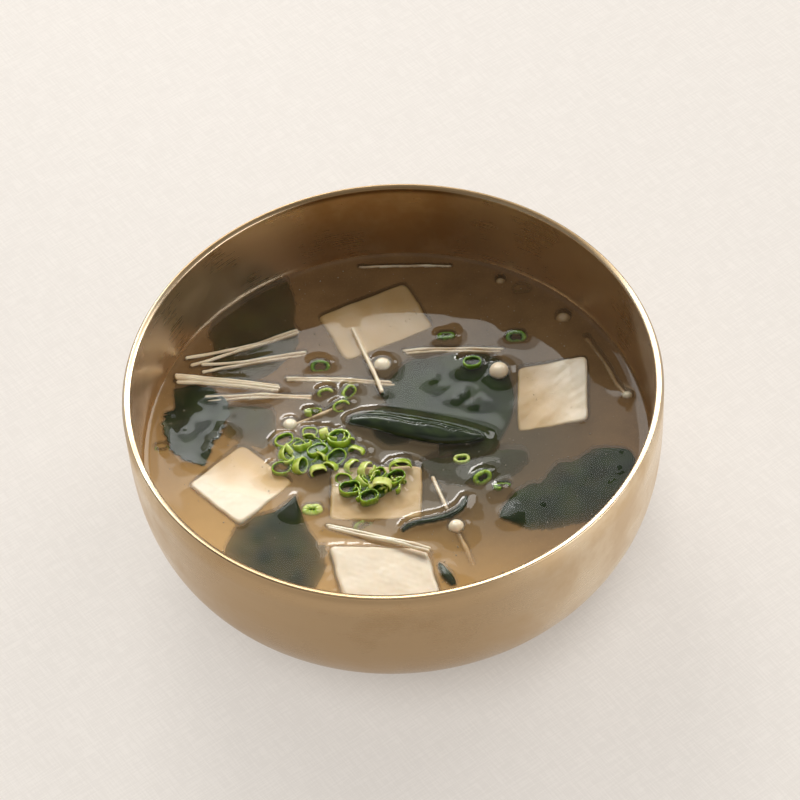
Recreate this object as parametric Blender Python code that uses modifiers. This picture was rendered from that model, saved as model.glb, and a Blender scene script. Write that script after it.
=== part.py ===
"""Miso soup in its turned brass bowl: broth, cut tofu, sea leaves, thin mushrooms and sliced onion greens.

Sizes and places are in millimetres, turned into metres as each mesh is made. The origin is the centre of
the bowl's flat base, +Z is up and -Y is the side of the bowl nearest to the eater.
"""

import math
from typing import NamedTuple

import bmesh
import bpy
import numpy as np
from mathutils import Matrix, Vector

MM = 0.001
GAP = 0.3

# The bowl: a turned wall whose two faces are superellipses, with a rounded lip and a flat base.
RIM_RADIUS = 72.0
BOWL_HEIGHT = 54.0
WIDEST_HEIGHT = BOWL_HEIGHT - 1.4
OUTER_DEPTH = 53.3
OUTER_SQUARENESS = 4.08
LIP_OUTER_RADIUS = 71.5
LIP_INNER_RADIUS = 69.7
INNER_DEPTH = 50.6
INNER_SQUARENESS = 4.05
BASE_RADIUS = 34.0
BOWL_STEPS = 60
WALL_POINTS = 8
LIP_POINTS = 4

# The broth fills the bowl up to this height.
SOUP_LEVEL = 27.0
SOUP_WALL_POINTS = 5

TOFU_THICKNESS = 13.0
TOFU_EDGE = 0.5
LEAF_THICKNESS = 1.2
LEAF_GAP = 0.45
LEAF_ROWS = 11
LEAF_COLUMNS = 4
POCKET_TOP = 12.0
ROD_SIDES = 8
CAP_FLATNESS = 0.85
CAP_UNDERCUT = 0.25
ONION_STEPS = 10
ONION_WALL = 1.0
HEAP_STEPS = 16
HEAP_RINGS = 8


class Tofu(NamedTuple):
    """A cut block, seen from above as a skewed rectangle; rise is its top above the soup, at its centre."""

    name: str
    centre: tuple
    length: float
    width: float
    turn: float
    skew: float
    rise: float
    tilt: tuple


class Leaf(NamedTuple):
    """A sheet of sea leaf that follows a spine of (x, y, half width, rise above the soup)."""

    name: str
    spine: list
    ripple: float
    lobes: float


class Rod(NamedTuple):
    """Stems side by side, or a rolled leaf, along a path of (x, y, rise, half width, half height)."""

    name: str
    path: list
    stations: int


class Cap(NamedTuple):
    """A small round mushroom cap, with the height of its centre above the soup."""

    name: str
    centre: tuple
    radius: float
    rise: float


class Slice(NamedTuple):
    """A ring cut from an onion green, with the height of its underside above the soup."""

    name: str
    centre: tuple
    radius: float
    height: float
    rise: float
    tilt: tuple


class Heap(NamedTuple):
    """A loose heap of onion rings as one mound, with the height of its underside above the soup."""

    name: str
    centre: tuple
    half_size: tuple
    turn: float
    height: float
    rise: float


TOFU = [
    Tofu("tofu_back", (-3.2, 44.6), 27.2, 19.0, 21.7, 0.0, -0.2, (1.5, 0.0)),
    Tofu("tofu_right", (43.6, 13.5), 19.6, 22.6, 5.5, 0.18, 0.2, (0.0, -2.0)),
    Tofu("tofu_left", (-42.8, -9.4), 20.4, 20.4, 42.0, 0.0, 0.2, (-2.0, 2.0)),
    Tofu("tofu_middle", (-6.6, -16.0), 24.6, 18.2, -4.0, 0.0, -0.9, (0.0, 0.0)),
    Tofu("tofu_front", (-5.0, -45.2), 27.0, 19.4, -3.5, -0.3, 0.7, (-1.5, 1.5)),
]

LEAVES = [
    Leaf("wakame_centre", [(1.5, 17.6, 2.4, 0.0), (10.0, 20.6, 7.8, 0.5), (20.0, 18.0, 9.4, 0.3),
                           (27.0, 10.0, 5.4, 0.3), (28.5, 1.0, 2.4, -0.1)],
         ripple=0.5, lobes=0.07),
    Leaf("wakame_left", [(-59.5, 22.0, 3.6, 0.1), (-58.2, 13.0, 5.4, 0.4), (-53.0, 3.0, 3.8, 0.5)],
         ripple=0.5, lobes=0.12),
    Leaf("wakame_front", [(-28.6, -16.6, 1.4, 1.6), (-31.2, -23.4, 5.4, 0.6), (-34.0, -31.6, 10.0, 0.0),
                          (-32.6, -40.0, 9.4, -0.2), (-29.4, -47.0, 5.0, -0.2)],
         ripple=0.4, lobes=0.10),
    Leaf("wakame_right", [(28.5, -26.5, 2.6, 0.8), (37.0, -24.6, 6.6, 0.3), (47.0, -21.0, 9.0, 0.0),
                          (58.5, -11.5, 4.6, 0.8)],
         ripple=0.4, lobes=0.09),
]

RODS = [
    Rod("wakame_roll", [(-13.0, 8.6, 0.3, 1.6, 1.2), (-6.0, 7.8, 0.9, 3.0, 2.0), (3.0, 4.6, 1.2, 4.2, 2.5),
                        (12.0, 1.6, 1.2, 4.2, 2.4), (19.0, 0.2, 0.8, 2.7, 1.8), (24.2, -0.4, 0.2, 0.9, 0.8)],
        stations=9),
    Rod("wakame_strip", [(-0.6, -30.2, 0.2, 0.7, 0.6), (3.0, -28.2, 0.5, 1.0, 0.8),
                         (11.0, -26.9, 0.6, 1.0, 0.9), (15.4, -24.4, 0.5, 1.0, 0.8),
                         (17.6, -20.0, 0.2, 0.6, 0.6)],
        stations=8),
    Rod("stem_back", [(-7.0, 64.6, 0.3, 0.9, 0.8), (6.0, 63.9, 0.4, 0.8, 0.8), (19.4, 62.9, 0.3, 0.8, 0.8)],
        stations=4),
    Rod("stems_left_upper", [(-55.6, 35.8, 1.4, 2.0, 0.8), (-41.0, 38.3, 0.6, 1.9, 0.8),
                             (-25.0, 43.2, 0.3, 1.5, 0.8)],
        stations=5),
    Rod("stems_left_back", [(-52.6, 32.1, 1.0, 2.0, 0.8), (-41.0, 33.1, 0.6, 1.8, 0.8),
                            (-23.0, 34.8, 0.3, 1.6, 0.8)],
        stations=5),
    Rod("stems_left_middle", [(-59.4, 28.8, 1.6, 2.0, 0.9), (-47.5, 26.4, 0.7, 1.5, 0.8),
                              (-30.8, 22.8, 0.3, 1.1, 0.8)],
        stations=5),
    Rod("stems_left_front", [(-50.4, 20.9, 0.5, 1.6, 0.8), (-36.5, 20.4, 0.5, 1.5, 0.8),
                             (-22.4, 18.7, 0.3, 1.3, 0.8)],
        stations=5),
    Rod("stems_centre", [(-29.4, 26.3, 0.4, 1.6, 0.8), (-17.0, 24.7, 0.4, 1.6, 0.8),
                         (0.0, 22.0, 0.3, 1.5, 0.8)],
        stations=5),
    Rod("stem_over_tofu", [(-10.0, 42.4, 1.3, 0.8, 0.8), (-7.4, 33.6, 1.5, 0.9, 0.8),
                           (-4.2, 22.6, 2.3, 1.1, 0.8), (-3.0, 17.6, 2.2, 1.2, 0.8)],
        stations=6),
    Rod("stems_right", [(3.4, 32.8, 0.4, 1.5, 0.8), (14.0, 32.6, 0.5, 1.4, 0.8), (31.4, 30.4, 0.3, 1.3, 0.8)],
        stations=5),
    Rod("stem_middle", [(8.8, -11.6, 0.2, 0.8, 0.8), (10.8, -19.0, 0.3, 0.9, 0.8),
                        (12.2, -23.8, 0.2, 0.9, 0.8)],
        stations=4),
    Rod("stems_front", [(-20.4, -27.6, 0.5, 1.5, 0.8), (-7.0, -32.6, 1.5, 1.5, 0.8),
                        (0.0, -35.6, 2.6, 1.5, 0.8), (6.6, -38.6, 3.0, 1.3, 0.8)],
        stations=6),
]

CAPS = [
    Cap("cap_centre", (-1.9, 27.8), 2.5, 0.5),
    Cap("cap_on_leaf", (29.2, 21.6), 2.8, 3.5),
    Cap("cap_left", (-28.8, 9.6), 2.3, 0.4),
    Cap("cap_front", (14.2, -30.2), 2.3, 0.6),
]

SLICES = [
    Slice("onion_slice_1", (-19.6, 29.6), 2.4, 2.0, -0.7, (8.0, 0.0)),
    Slice("onion_slice_2", (-18.6, 19.9), 2.3, 1.8, -0.6, (0.0, 10.0)),
    Slice("onion_slice_3", (-12.2, 19.6), 2.4, 1.8, -0.7, (12.0, 0.0)),
    Slice("onion_slice_4", (-22.2, 13.8), 2.3, 1.8, -0.7, (0.0, -8.0)),
    Slice("onion_slice_5", (-14.4, 14.6), 2.2, 1.8, -0.6, (8.0, 8.0)),
    Slice("onion_slice_6", (16.0, 37.0), 2.4, 2.0, -0.7, (-10.0, 0.0)),
    Slice("onion_slice_7", (35.4, 35.0), 2.6, 1.8, -0.7, (0.0, 10.0)),
    Slice("onion_slice_8", (22.4, 26.0), 2.4, 1.8, 1.9, (0.0, 0.0)),
    Slice("onion_slice_9", (17.2, -6.6), 2.1, 1.6, -0.8, (0.0, 6.0)),
    Slice("onion_slice_10", (22.2, -13.6), 2.5, 1.8, -0.6, (8.0, 0.0)),
    Slice("onion_slice_11", (27.4, -17.4), 2.4, 1.8, -0.7, (0.0, -8.0)),
    Slice("onion_slice_12", (-24.0, -20.2), 2.5, 1.8, -0.9, (0.0, 6.0)),
]

HEAPS = [
    Heap("onion_heap_left", (-21.4, -0.8), (11.8, 7.5), 14.0, 3.2, -0.5),
    Heap("onion_heap_front", (-7.4, -14.6), (9.6, 7.0), 8.0, 3.2, -0.4),
]


def clear_scene():
    """Remove every object that the file opened with."""
    for obj in list(bpy.data.objects):
        bpy.data.objects.remove(obj, do_unlink=True)


def new_collection(name):
    """Make a collection in the scene."""
    collection = bpy.data.collections.new(name)
    bpy.context.scene.collection.children.link(collection)
    return collection


def new_material(name, colour, roughness, metallic=0.0):
    """Make a Principled material of one colour."""
    material = bpy.data.materials.new(name)
    material.use_nodes = True
    shader = material.node_tree.nodes["Principled BSDF"]
    shader.inputs["Base Color"].default_value = (*colour, 1.0)
    shader.inputs["Roughness"].default_value = roughness
    shader.inputs["Metallic"].default_value = metallic
    return material


def link_mesh(bm, name, collection, material=None, smooth_angle=None):
    """Put a bmesh built in millimetres into a new object in metres, with its faces pointing out."""
    bmesh.ops.recalc_face_normals(bm, faces=bm.faces)
    bmesh.ops.scale(bm, vec=(MM, MM, MM), verts=bm.verts)
    mesh = bpy.data.meshes.new(name)
    bm.to_mesh(mesh)
    bm.free()
    if smooth_angle is not None:
        mesh.shade_smooth()
        mesh.set_sharp_from_angle(angle=math.radians(smooth_angle))
    obj = bpy.data.objects.new(name, mesh)
    collection.objects.link(obj)
    if material:
        mesh.materials.append(material)
    return obj


def as_cutter(obj):
    """Leave an object out of the model, for its shape to be cut from another."""
    obj.hide_render = True
    obj.display_type = "WIRE"
    return obj


def cut(target, cutter):
    """Take a cutter's shape away from the target."""
    modifier = target.modifiers.new(f"cut_{cutter.name}", "BOOLEAN")
    modifier.operation = "DIFFERENCE"
    modifier.object = cutter
    modifier.solver = "EXACT"


def turned(name, profile, steps, collection, material):
    """Turn a profile of (radius, height) about Z; it starts and ends on the axis, or closes on itself."""
    mesh = bpy.data.meshes.new(name)
    points = [(radius * MM, 0.0, height * MM) for radius, height in profile]
    edges = [(i, i + 1) for i in range(len(points) - 1)]
    mesh.from_pydata(points, edges, [])
    obj = bpy.data.objects.new(name, mesh)
    collection.objects.link(obj)
    screw = obj.modifiers.new("turn", "SCREW")
    screw.axis = "Z"
    screw.angle = math.tau
    screw.steps = steps
    screw.render_steps = steps
    screw.use_merge_vertices = True
    screw.merge_threshold = 0.00001
    screw.use_smooth_shade = True
    mesh.materials.append(material)
    return obj


def wall_points(radius, depth, squareness, count, top=WIDEST_HEIGHT, bottom=None):
    """Points of a superellipse wall from its top down to its floor, or down to the bottom height given.

    At an angle a, from 0 at the widest height to 90 degrees on the axis, r = radius * cos(a) ** (2 / n)
    and the drop below the widest height is depth * sin(a) ** (2 / n), where n is the squareness.
    """
    def angle_at(height):
        return math.asin(((WIDEST_HEIGHT - height) / depth) ** (squareness / 2))

    first = angle_at(top)
    last = math.pi / 2 if bottom is None else angle_at(bottom)
    points = []
    for i in range(count + 1):
        a = first + (last - first) * i / count
        r = radius * max(math.cos(a), 0.0) ** (2 / squareness)
        z = WIDEST_HEIGHT - depth * math.sin(a) ** (2 / squareness)
        points.append((r, z))
    if bottom is None:
        points[-1] = (0.0, WIDEST_HEIGHT - depth)
    return points


def make_bowl(collection, material):
    """The bowl as one turned profile: up the inner face, round the lip and down to the flat base."""
    inner = wall_points(LIP_INNER_RADIUS, INNER_DEPTH, INNER_SQUARENESS, WALL_POINTS)
    outer = wall_points(RIM_RADIUS, OUTER_DEPTH, OUTER_SQUARENESS, WALL_POINTS, bottom=0.0)
    lip_half = (LIP_OUTER_RADIUS - LIP_INNER_RADIUS) / 2
    lip_centre = (LIP_OUTER_RADIUS + LIP_INNER_RADIUS) / 2
    lip = []
    for i in range(LIP_POINTS + 1):
        a = math.pi - math.pi * i / LIP_POINTS
        lip.append((lip_centre + lip_half * math.cos(a), BOWL_HEIGHT - lip_half * (1 - math.sin(a))))
    base = [(BASE_RADIUS, 0.0), (0.0, 0.0)]
    return turned("bowl", inner[::-1] + lip + outer + base, BOWL_STEPS, collection, material)


def make_soup(collection, material):
    """The broth from its flat surface down to the bowl's floor, a gap inside the wall."""
    radius = LIP_INNER_RADIUS - GAP
    depth = INNER_DEPTH - GAP
    wall = wall_points(radius, depth, INNER_SQUARENESS, SOUP_WALL_POINTS, top=SOUP_LEVEL)
    return turned("soup", [(0.0, SOUP_LEVEL)] + wall, BOWL_STEPS, collection, material)


def tofu_block(tofu, name, collection, clearance=0.0, material=None):
    """A cut block with eased edges; with a clearance it is the open pocket that the block floats in."""
    bm = bmesh.new()
    bmesh.ops.create_cube(bm, size=1.0)
    top = POCKET_TOP if clearance else 0.0
    size = (tofu.length + 2 * clearance, tofu.width + 2 * clearance, TOFU_THICKNESS + clearance + top)
    bmesh.ops.scale(bm, vec=size, verts=bm.verts)
    bmesh.ops.translate(bm, vec=(0.0, 0.0, top - size[2] / 2), verts=bm.verts)
    if not clearance:
        edges = list(bm.edges)
        bmesh.ops.bevel(bm, geom=edges, offset=TOFU_EDGE, segments=1, affect="EDGES")
    skew = Matrix.Identity(4)
    skew[0][1] = tofu.skew
    place = Matrix.Translation((*tofu.centre, SOUP_LEVEL + tofu.rise))
    turn = Matrix.Rotation(math.radians(tofu.turn), 4, "Z")
    tilt_x = Matrix.Rotation(math.radians(tofu.tilt[0]), 4, "X")
    tilt_y = Matrix.Rotation(math.radians(tofu.tilt[1]), 4, "Y")
    bmesh.ops.transform(bm, matrix=place @ turn @ tilt_x @ tilt_y @ skew, verts=bm.verts)
    return link_mesh(bm, name, collection, material)


def smooth_path(points, count):
    """Points on a smooth curve through the given ones, by Catmull-Rom, evenly spread between them."""
    known = np.array(points, dtype=float)
    padded = np.vstack([2 * known[0] - known[1], known, 2 * known[-1] - known[-2]])
    at = np.linspace(0, len(known) - 1, count)
    span = np.minimum(at.astype(int), len(known) - 2)
    t = (at - span)[:, None]
    a, b, c, d = (padded[span + k] for k in range(4))
    return 0.5 * (2 * b + (c - a) * t + (2 * a - 5 * b + 4 * c - d) * t**2 + (3 * b - a - 3 * c + d) * t**3)


def leaf_sheet(leaf, name, collection, clearance=0.0, material=None):
    """A lobed, rippled sheet along its spine; with a clearance it is the open pocket that it floats in.

    For t from 0 to 1 along the spine and s from -1 to 1 across it, the edge stands at the half width times
    1 + lobes * sin(10 t + phase), and the height is the rise plus ripple * sin(8 t + 2 s).
    """
    rows = smooth_path(leaf.spine, LEAF_ROWS)
    along = np.gradient(rows[:, :2], axis=0)
    along /= np.linalg.norm(along, axis=1)[:, None]
    side = np.column_stack([-along[:, 1], along[:, 0]])
    ends = np.zeros(LEAF_ROWS)
    ends[0], ends[-1] = -clearance, clearance
    centre = rows[:, :2] + along * ends[:, None]
    t = np.linspace(0, 1, LEAF_ROWS)
    bm = bmesh.new()
    bmesh.ops.create_grid(bm, x_segments=LEAF_ROWS - 1, y_segments=LEAF_COLUMNS, size=1.0)
    bm.verts.ensure_lookup_table()
    for vert in bm.verts:
        i = round((vert.co.x + 1) / 2 * (LEAF_ROWS - 1))
        s = vert.co.y
        phase = 1.3 if s > 0 else 4.0
        wave = 1 + leaf.lobes * math.sin(10 * t[i] + phase)
        reach = s * (rows[i, 2] * wave + clearance)
        x, y = centre[i] + side[i] * reach
        z = SOUP_LEVEL + rows[i, 3] + leaf.ripple * math.sin(8 * t[i] + 2 * s) - LEAF_THICKNESS
        vert.co = Vector((x, y, z - clearance))
    bmesh.ops.triangulate(bm, faces=bm.faces, quad_method="FIXED")
    top = bmesh.ops.extrude_face_region(bm, geom=list(bm.faces))
    lifted = [item for item in top["geom"] if isinstance(item, bmesh.types.BMVert)]
    for vert in lifted:
        vert.co.z = SOUP_LEVEL + POCKET_TOP if clearance else vert.co.z + LEAF_THICKNESS
    return link_mesh(bm, name, collection, material, smooth_angle=50)


def rod_solid(rod, name, collection, clearance=0.0, material=None):
    """An oval rod whose width and height change along its path, closed by flat ends."""
    rows = smooth_path(rod.path, rod.stations)
    along = np.gradient(rows[:, :3], axis=0)
    along /= np.linalg.norm(along, axis=1)[:, None]
    bm = bmesh.new()
    rings = []
    for i, (x, y, rise, half_width, half_height) in enumerate(rows):
        end = -clearance if i == 0 else clearance if i == len(rows) - 1 else 0.0
        centre = Vector((x, y, SOUP_LEVEL + rise)) + Vector(along[i]) * end
        across = Vector((-along[i][1], along[i][0], 0.0)).normalized()
        ring = []
        for k in range(ROD_SIDES):
            a = math.tau * (k + 0.5) / ROD_SIDES
            offset = across * math.cos(a) * (half_width + clearance)
            offset.z = math.sin(a) * (half_height + clearance)
            ring.append(bm.verts.new(centre + offset))
        rings.append(ring)
    for first, second in zip(rings, rings[1:]):
        for k in range(ROD_SIDES):
            n = (k + 1) % ROD_SIDES
            bm.faces.new((first[k], first[n], second[n], second[k]))
    bm.faces.new(rings[0])
    bm.faces.new(rings[-1])
    return link_mesh(bm, name, collection, material, smooth_angle=60)


def cap_solid(cap, name, collection, clearance=0.0, material=None):
    """A mushroom cap: a ball a little flatter than round, with a narrower underside."""
    bm = bmesh.new()
    bmesh.ops.create_uvsphere(bm, u_segments=10, v_segments=6, radius=cap.radius + clearance)
    for vert in bm.verts:
        under = max(-vert.co.z, 0.0) / cap.radius
        vert.co.x *= 1 - CAP_UNDERCUT * under
        vert.co.y *= 1 - CAP_UNDERCUT * under
        vert.co.z *= CAP_FLATNESS
    bmesh.ops.translate(bm, vec=(*cap.centre, SOUP_LEVEL + cap.rise), verts=bm.verts)
    return link_mesh(bm, name, collection, material, smooth_angle=60)


def onion_ring(piece, collection, material):
    """A ring turned from a small rectangle, then tilted as it floats."""
    inner = piece.radius - ONION_WALL
    low, high = 0.0, piece.height
    profile = [(inner, high), (piece.radius, high), (piece.radius, low), (inner, low), (inner, high)]
    ring = turned(piece.name, profile, ONION_STEPS, collection, material)
    ring.location = Vector((*piece.centre, SOUP_LEVEL + piece.rise)) * MM
    ring.rotation_euler = (math.radians(piece.tilt[0]), math.radians(piece.tilt[1]), 0.0)
    return ring


def onion_pocket(piece, name, collection):
    """The round pocket that a floating ring lies in."""
    bm = bmesh.new()
    radius = piece.radius + GAP
    depth = POCKET_TOP + GAP
    bmesh.ops.create_cone(
        bm, cap_ends=True, segments=ONION_STEPS, radius1=radius, radius2=radius, depth=depth
    )
    bmesh.ops.translate(bm, vec=(0.0, 0.0, depth / 2 - GAP), verts=bm.verts)
    tilt_x = Matrix.Rotation(math.radians(piece.tilt[0]), 4, "X")
    tilt_y = Matrix.Rotation(math.radians(piece.tilt[1]), 4, "Y")
    place = Matrix.Translation((*piece.centre, SOUP_LEVEL + piece.rise))
    bmesh.ops.transform(bm, matrix=place @ tilt_y @ tilt_x, verts=bm.verts)
    return link_mesh(bm, name, collection)


def heap_mound(heap, name, collection, clearance=0.0, material=None):
    """A low mound with a lobed outline and a bumpy top; with a clearance it is its open pocket.

    In polar terms its edge stands at 1 - 0.08 * (1 + sin(5 a)) of the half size, and its top at
    height * sqrt(1 - r * r) * (0.85 + 0.15 * sin(4 a + 5 r)).
    """
    bm = bmesh.new()
    bmesh.ops.create_uvsphere(bm, u_segments=HEAP_STEPS, v_segments=HEAP_RINGS, radius=1.0)
    first_ring = math.cos(math.pi / HEAP_RINGS)
    for vert in bm.verts:
        a = math.atan2(vert.co.y, vert.co.x)
        r = min(math.hypot(vert.co.x, vert.co.y), 1.0)
        lobe = 1 - 0.08 * (1 + math.sin(5 * a))
        crown = heap.height * max(vert.co.z, 0.0) * (0.85 + 0.15 * math.sin(4 * a + 5 * r) * r)
        z = crown
        if clearance:
            below = vert.co.z < -0.01
            z = -clearance if below else POCKET_TOP
            r = min(r / first_ring, 1.0) if below else r
        x = r * math.cos(a) * (heap.half_size[0] * lobe + clearance)
        y = r * math.sin(a) * (heap.half_size[1] * lobe + clearance)
        vert.co = Vector((x, y, z))
    turn = Matrix.Rotation(math.radians(heap.turn), 4, "Z")
    place = Matrix.Translation((*heap.centre, SOUP_LEVEL + heap.rise))
    bmesh.ops.transform(bm, matrix=place @ turn, verts=bm.verts)
    return link_mesh(bm, name, collection, material, smooth_angle=50)


def main():
    """Build the bowl, the soup and everything that floats in it."""
    clear_scene()
    parts = new_collection("miso_soup")
    cutters = new_collection("soup_pockets")
    brass = new_material("brass", (0.62, 0.46, 0.26), 0.32, metallic=1.0)
    broth = new_material("broth", (0.42, 0.29, 0.16), 0.25)
    curd = new_material("tofu", (0.86, 0.76, 0.58), 0.5)
    sea_leaf = new_material("wakame", (0.03, 0.06, 0.03), 0.3)
    mushroom = new_material("mushroom", (0.80, 0.70, 0.52), 0.4)
    green = new_material("onion_green", (0.28, 0.48, 0.10), 0.4)

    make_bowl(parts, brass)
    soup = make_soup(parts, broth)
    pockets = []
    kinds = [(TOFU, tofu_block, curd, GAP), (LEAVES, leaf_sheet, sea_leaf, LEAF_GAP),
             (CAPS, cap_solid, mushroom, GAP), (HEAPS, heap_mound, green, GAP)]
    for pieces, build, material, gap in kinds:
        for piece in pieces:
            build(piece, piece.name, parts, material=material)
            pockets.append(build(piece, f"pocket_{piece.name}", cutters, clearance=gap))
    for rod in RODS:
        rod_solid(rod, rod.name, parts, material=sea_leaf if "wakame" in rod.name else mushroom)
        pockets.append(rod_solid(rod, f"pocket_{rod.name}", cutters, clearance=GAP))
    for piece in SLICES:
        onion_ring(piece, parts, green)
        pockets.append(onion_pocket(piece, f"pocket_{piece.name}", cutters))
    for pocket in pockets:
        cut(soup, as_cutter(pocket))


main()
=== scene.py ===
"""Miso soup in its turned brass bowl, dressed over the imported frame.

The shapes are worked out in millimetres, in the frame's own axes: the origin is the centre of the bowl's
flat base, x points right, y away from the eater and z up. They become metres as each mesh is made.
"""

import logging
import math
from dataclasses import dataclass, field
from enum import Enum

import bmesh
import bpy
import numpy as np
from mathutils import Matrix, Vector


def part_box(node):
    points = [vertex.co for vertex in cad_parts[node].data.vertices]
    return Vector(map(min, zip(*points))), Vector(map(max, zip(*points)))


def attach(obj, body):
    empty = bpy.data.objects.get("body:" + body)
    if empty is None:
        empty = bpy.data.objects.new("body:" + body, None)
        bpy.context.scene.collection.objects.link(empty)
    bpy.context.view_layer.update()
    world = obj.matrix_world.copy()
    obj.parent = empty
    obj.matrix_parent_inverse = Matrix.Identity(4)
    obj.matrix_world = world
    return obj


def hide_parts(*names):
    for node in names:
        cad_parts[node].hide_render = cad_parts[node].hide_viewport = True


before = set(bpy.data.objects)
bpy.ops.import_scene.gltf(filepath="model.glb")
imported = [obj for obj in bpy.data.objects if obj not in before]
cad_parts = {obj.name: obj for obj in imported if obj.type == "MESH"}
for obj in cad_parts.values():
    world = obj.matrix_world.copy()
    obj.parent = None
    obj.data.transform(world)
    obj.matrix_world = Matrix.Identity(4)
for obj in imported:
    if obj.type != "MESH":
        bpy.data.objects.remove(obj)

Array = np.ndarray
Socket = bpy.types.NodeSocket
log = logging.getLogger("miso_soup")

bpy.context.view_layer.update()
MM = 0.001
BODY = "root"
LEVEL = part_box("soup")[1][2] / MM
RIM_RADIUS = (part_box("bowl")[1][0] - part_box("bowl")[0][0]) / 2 / MM
RIM_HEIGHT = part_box("bowl")[1][2] / MM


# --------------------------------------------------------------------------------------------------------
# Shapes: surfaces over two parameters, as whole arrays
# --------------------------------------------------------------------------------------------------------


@dataclass
class Surface:
    """Points in millimetres, the four corners of each face, and one tone from 0 to 1 for each point."""

    points: Array
    faces: Array
    tone: Array


def grid_surface(points: Array, wrap_rows: bool = False, wrap_columns: bool = False,
                 tone: Array | float = 0.5) -> Surface:
    """Join a grid of points into quads; outwards turns them out where the grid closes a volume.

    Args:
        points: Rows by columns by three, in millimetres.
        wrap_rows: True if the last row joins the first.
        wrap_columns: True if the last column joins the first.
        tone: One number, or a rows by columns array.

    Returns:
        The surface.
    """
    rows, columns = points.shape[:2]
    index = np.arange(rows * columns).reshape(rows, columns)
    if wrap_rows:
        index = np.vstack([index, index[:1]])
    if wrap_columns:
        index = np.hstack([index, index[:, :1]])
    faces = np.stack([index[:-1, :-1], index[:-1, 1:], index[1:, 1:], index[1:, :-1]], axis=-1).reshape(-1, 4)
    flat = points.reshape(-1, 3).astype(float)
    tones = np.broadcast_to(np.asarray(tone, dtype=float), (rows, columns)).reshape(-1)
    return Surface(flat, faces, tones.copy())


def outwards(surface: Surface) -> Surface:
    """Turn a closed surface's faces out: the sum of a . (b x c) over its triangles is its volume times six."""
    a, b, c, d = (surface.points[surface.faces[:, k]] for k in range(4))
    volume = np.einsum("ij,ij->", a, np.cross(b, c)) + np.einsum("ij,ij->", a, np.cross(c, d))
    faces = surface.faces if volume > 0 else surface.faces[:, ::-1]
    return Surface(surface.points, faces, surface.tone)


def joined(surfaces: list[Surface]) -> Surface:
    """Put several surfaces into one, each with its own points."""
    starts = np.cumsum([0] + [len(s.points) for s in surfaces[:-1]])
    return Surface(np.vstack([s.points for s in surfaces]),
                   np.vstack([s.faces + start for s, start in zip(surfaces, starts)]),
                   np.concatenate([s.tone for s in surfaces]))


def smooth_path(points: list[tuple], count: int) -> Array:
    """Points on a smooth curve through the given ones, by Catmull-Rom.

    Args:
        points: Rows of numbers, such as x, y and a width.
        count: How many points to return.

    Returns:
        An array of count rows, evenly spread between the given points.
    """
    known = np.array(points, dtype=float)
    padded = np.vstack([2 * known[0] - known[1], known, 2 * known[-1] - known[-2]])
    at = np.linspace(0, len(known) - 1, count)
    span = np.minimum(at.astype(int), len(known) - 2)
    t = (at - span)[:, None]
    a, b, c, d = (padded[span + k] for k in range(4))
    return 0.5 * (2 * b + (c - a) * t + (2 * a - 5 * b + 4 * c - d) * t**2 + (3 * b - a - 3 * c + d) * t**3)


def waves(x: Array, y: Array, length: float, seed: int, count: int = 14) -> Array:
    """A smooth random field of about -1 to 1: the mean of sine waves that run in random directions.

    Args:
        x: Where to read it, in millimetres.
        y: The same, across.
        length: The usual length of a wave.
        seed: Picks the field.
        count: How many waves are added up.

    Returns:
        One height for each point.
    """
    rng = np.random.default_rng(seed)
    total = np.zeros(np.broadcast(x, y).shape)
    for _ in range(count):
        turn, phase = rng.uniform(0, math.tau, 2)
        pace = math.tau / (length * rng.uniform(0.6, 1.6))
        total += np.sin(pace * (x * math.cos(turn) + y * math.sin(turn)) + phase)
    return total / math.sqrt(count)


def turn_matrix(tilt_x: float, tilt_y: float, turn: float) -> Array:
    """The 3 by 3 matrix that tilts about X, then about Y, then turns about Z, in degrees."""
    cx, cy, cz = (math.cos(math.radians(v)) for v in (tilt_x, tilt_y, turn))
    sx, sy, sz = (math.sin(math.radians(v)) for v in (tilt_x, tilt_y, turn))
    about_x = np.array([[1, 0, 0], [0, cx, -sx], [0, sx, cx]])
    about_y = np.array([[cy, 0, sy], [0, 1, 0], [-sy, 0, cy]])
    about_z = np.array([[cz, -sz, 0], [sz, cz, 0], [0, 0, 1]])
    return about_z @ about_y @ about_x


def lathe(profile: Array, steps: int) -> Array:
    """Turn a profile of (radius, height) about Z: each point goes to (r cos a, r sin a, z) for a full turn."""
    a = np.linspace(0, math.tau, steps, endpoint=False)
    radius, height = profile[:, :1], profile[:, 1:2]
    return np.stack([radius * np.cos(a), radius * np.sin(a), np.repeat(height, steps, axis=1)], axis=-1)


def tube(path: Array, half_width: Array, half_height: Array, around: int, squareness: float = 2.0) -> Array:
    """Carry a closed superellipse along a path that runs more or less level.

    The section at each station is half_width * cos(a) ** (2 / n) across the path and
    half_height * sin(a) ** (2 / n) up, with the powers taken on the size and the sign kept.

    Args:
        path: Stations by three.
        half_width: One half width for each station, or stations by around where its sides differ.
        half_height: One half height for each station.
        around: Points round the section.
        squareness: The superellipse's n.

    Returns:
        Stations by around by three.
    """
    along = np.gradient(path, axis=0)
    along /= np.linalg.norm(along, axis=1)[:, None]
    across = np.stack([-along[:, 1], along[:, 0], np.zeros(len(path))], axis=-1)
    across /= np.linalg.norm(across, axis=1)[:, None]
    up = np.cross(along, across)
    a = np.linspace(0, math.tau, around, endpoint=False)
    power = 2 / squareness
    c = np.sign(np.cos(a)) * np.abs(np.cos(a)) ** power
    s = np.sign(np.sin(a)) * np.abs(np.sin(a)) ** power
    width = half_width if half_width.ndim == 2 else half_width[:, None]
    side = (width * c)[..., None] * across[:, None, :]
    lift = (half_height[:, None] * s)[..., None] * up[:, None, :]
    return path[:, None, :] + side + lift


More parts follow.
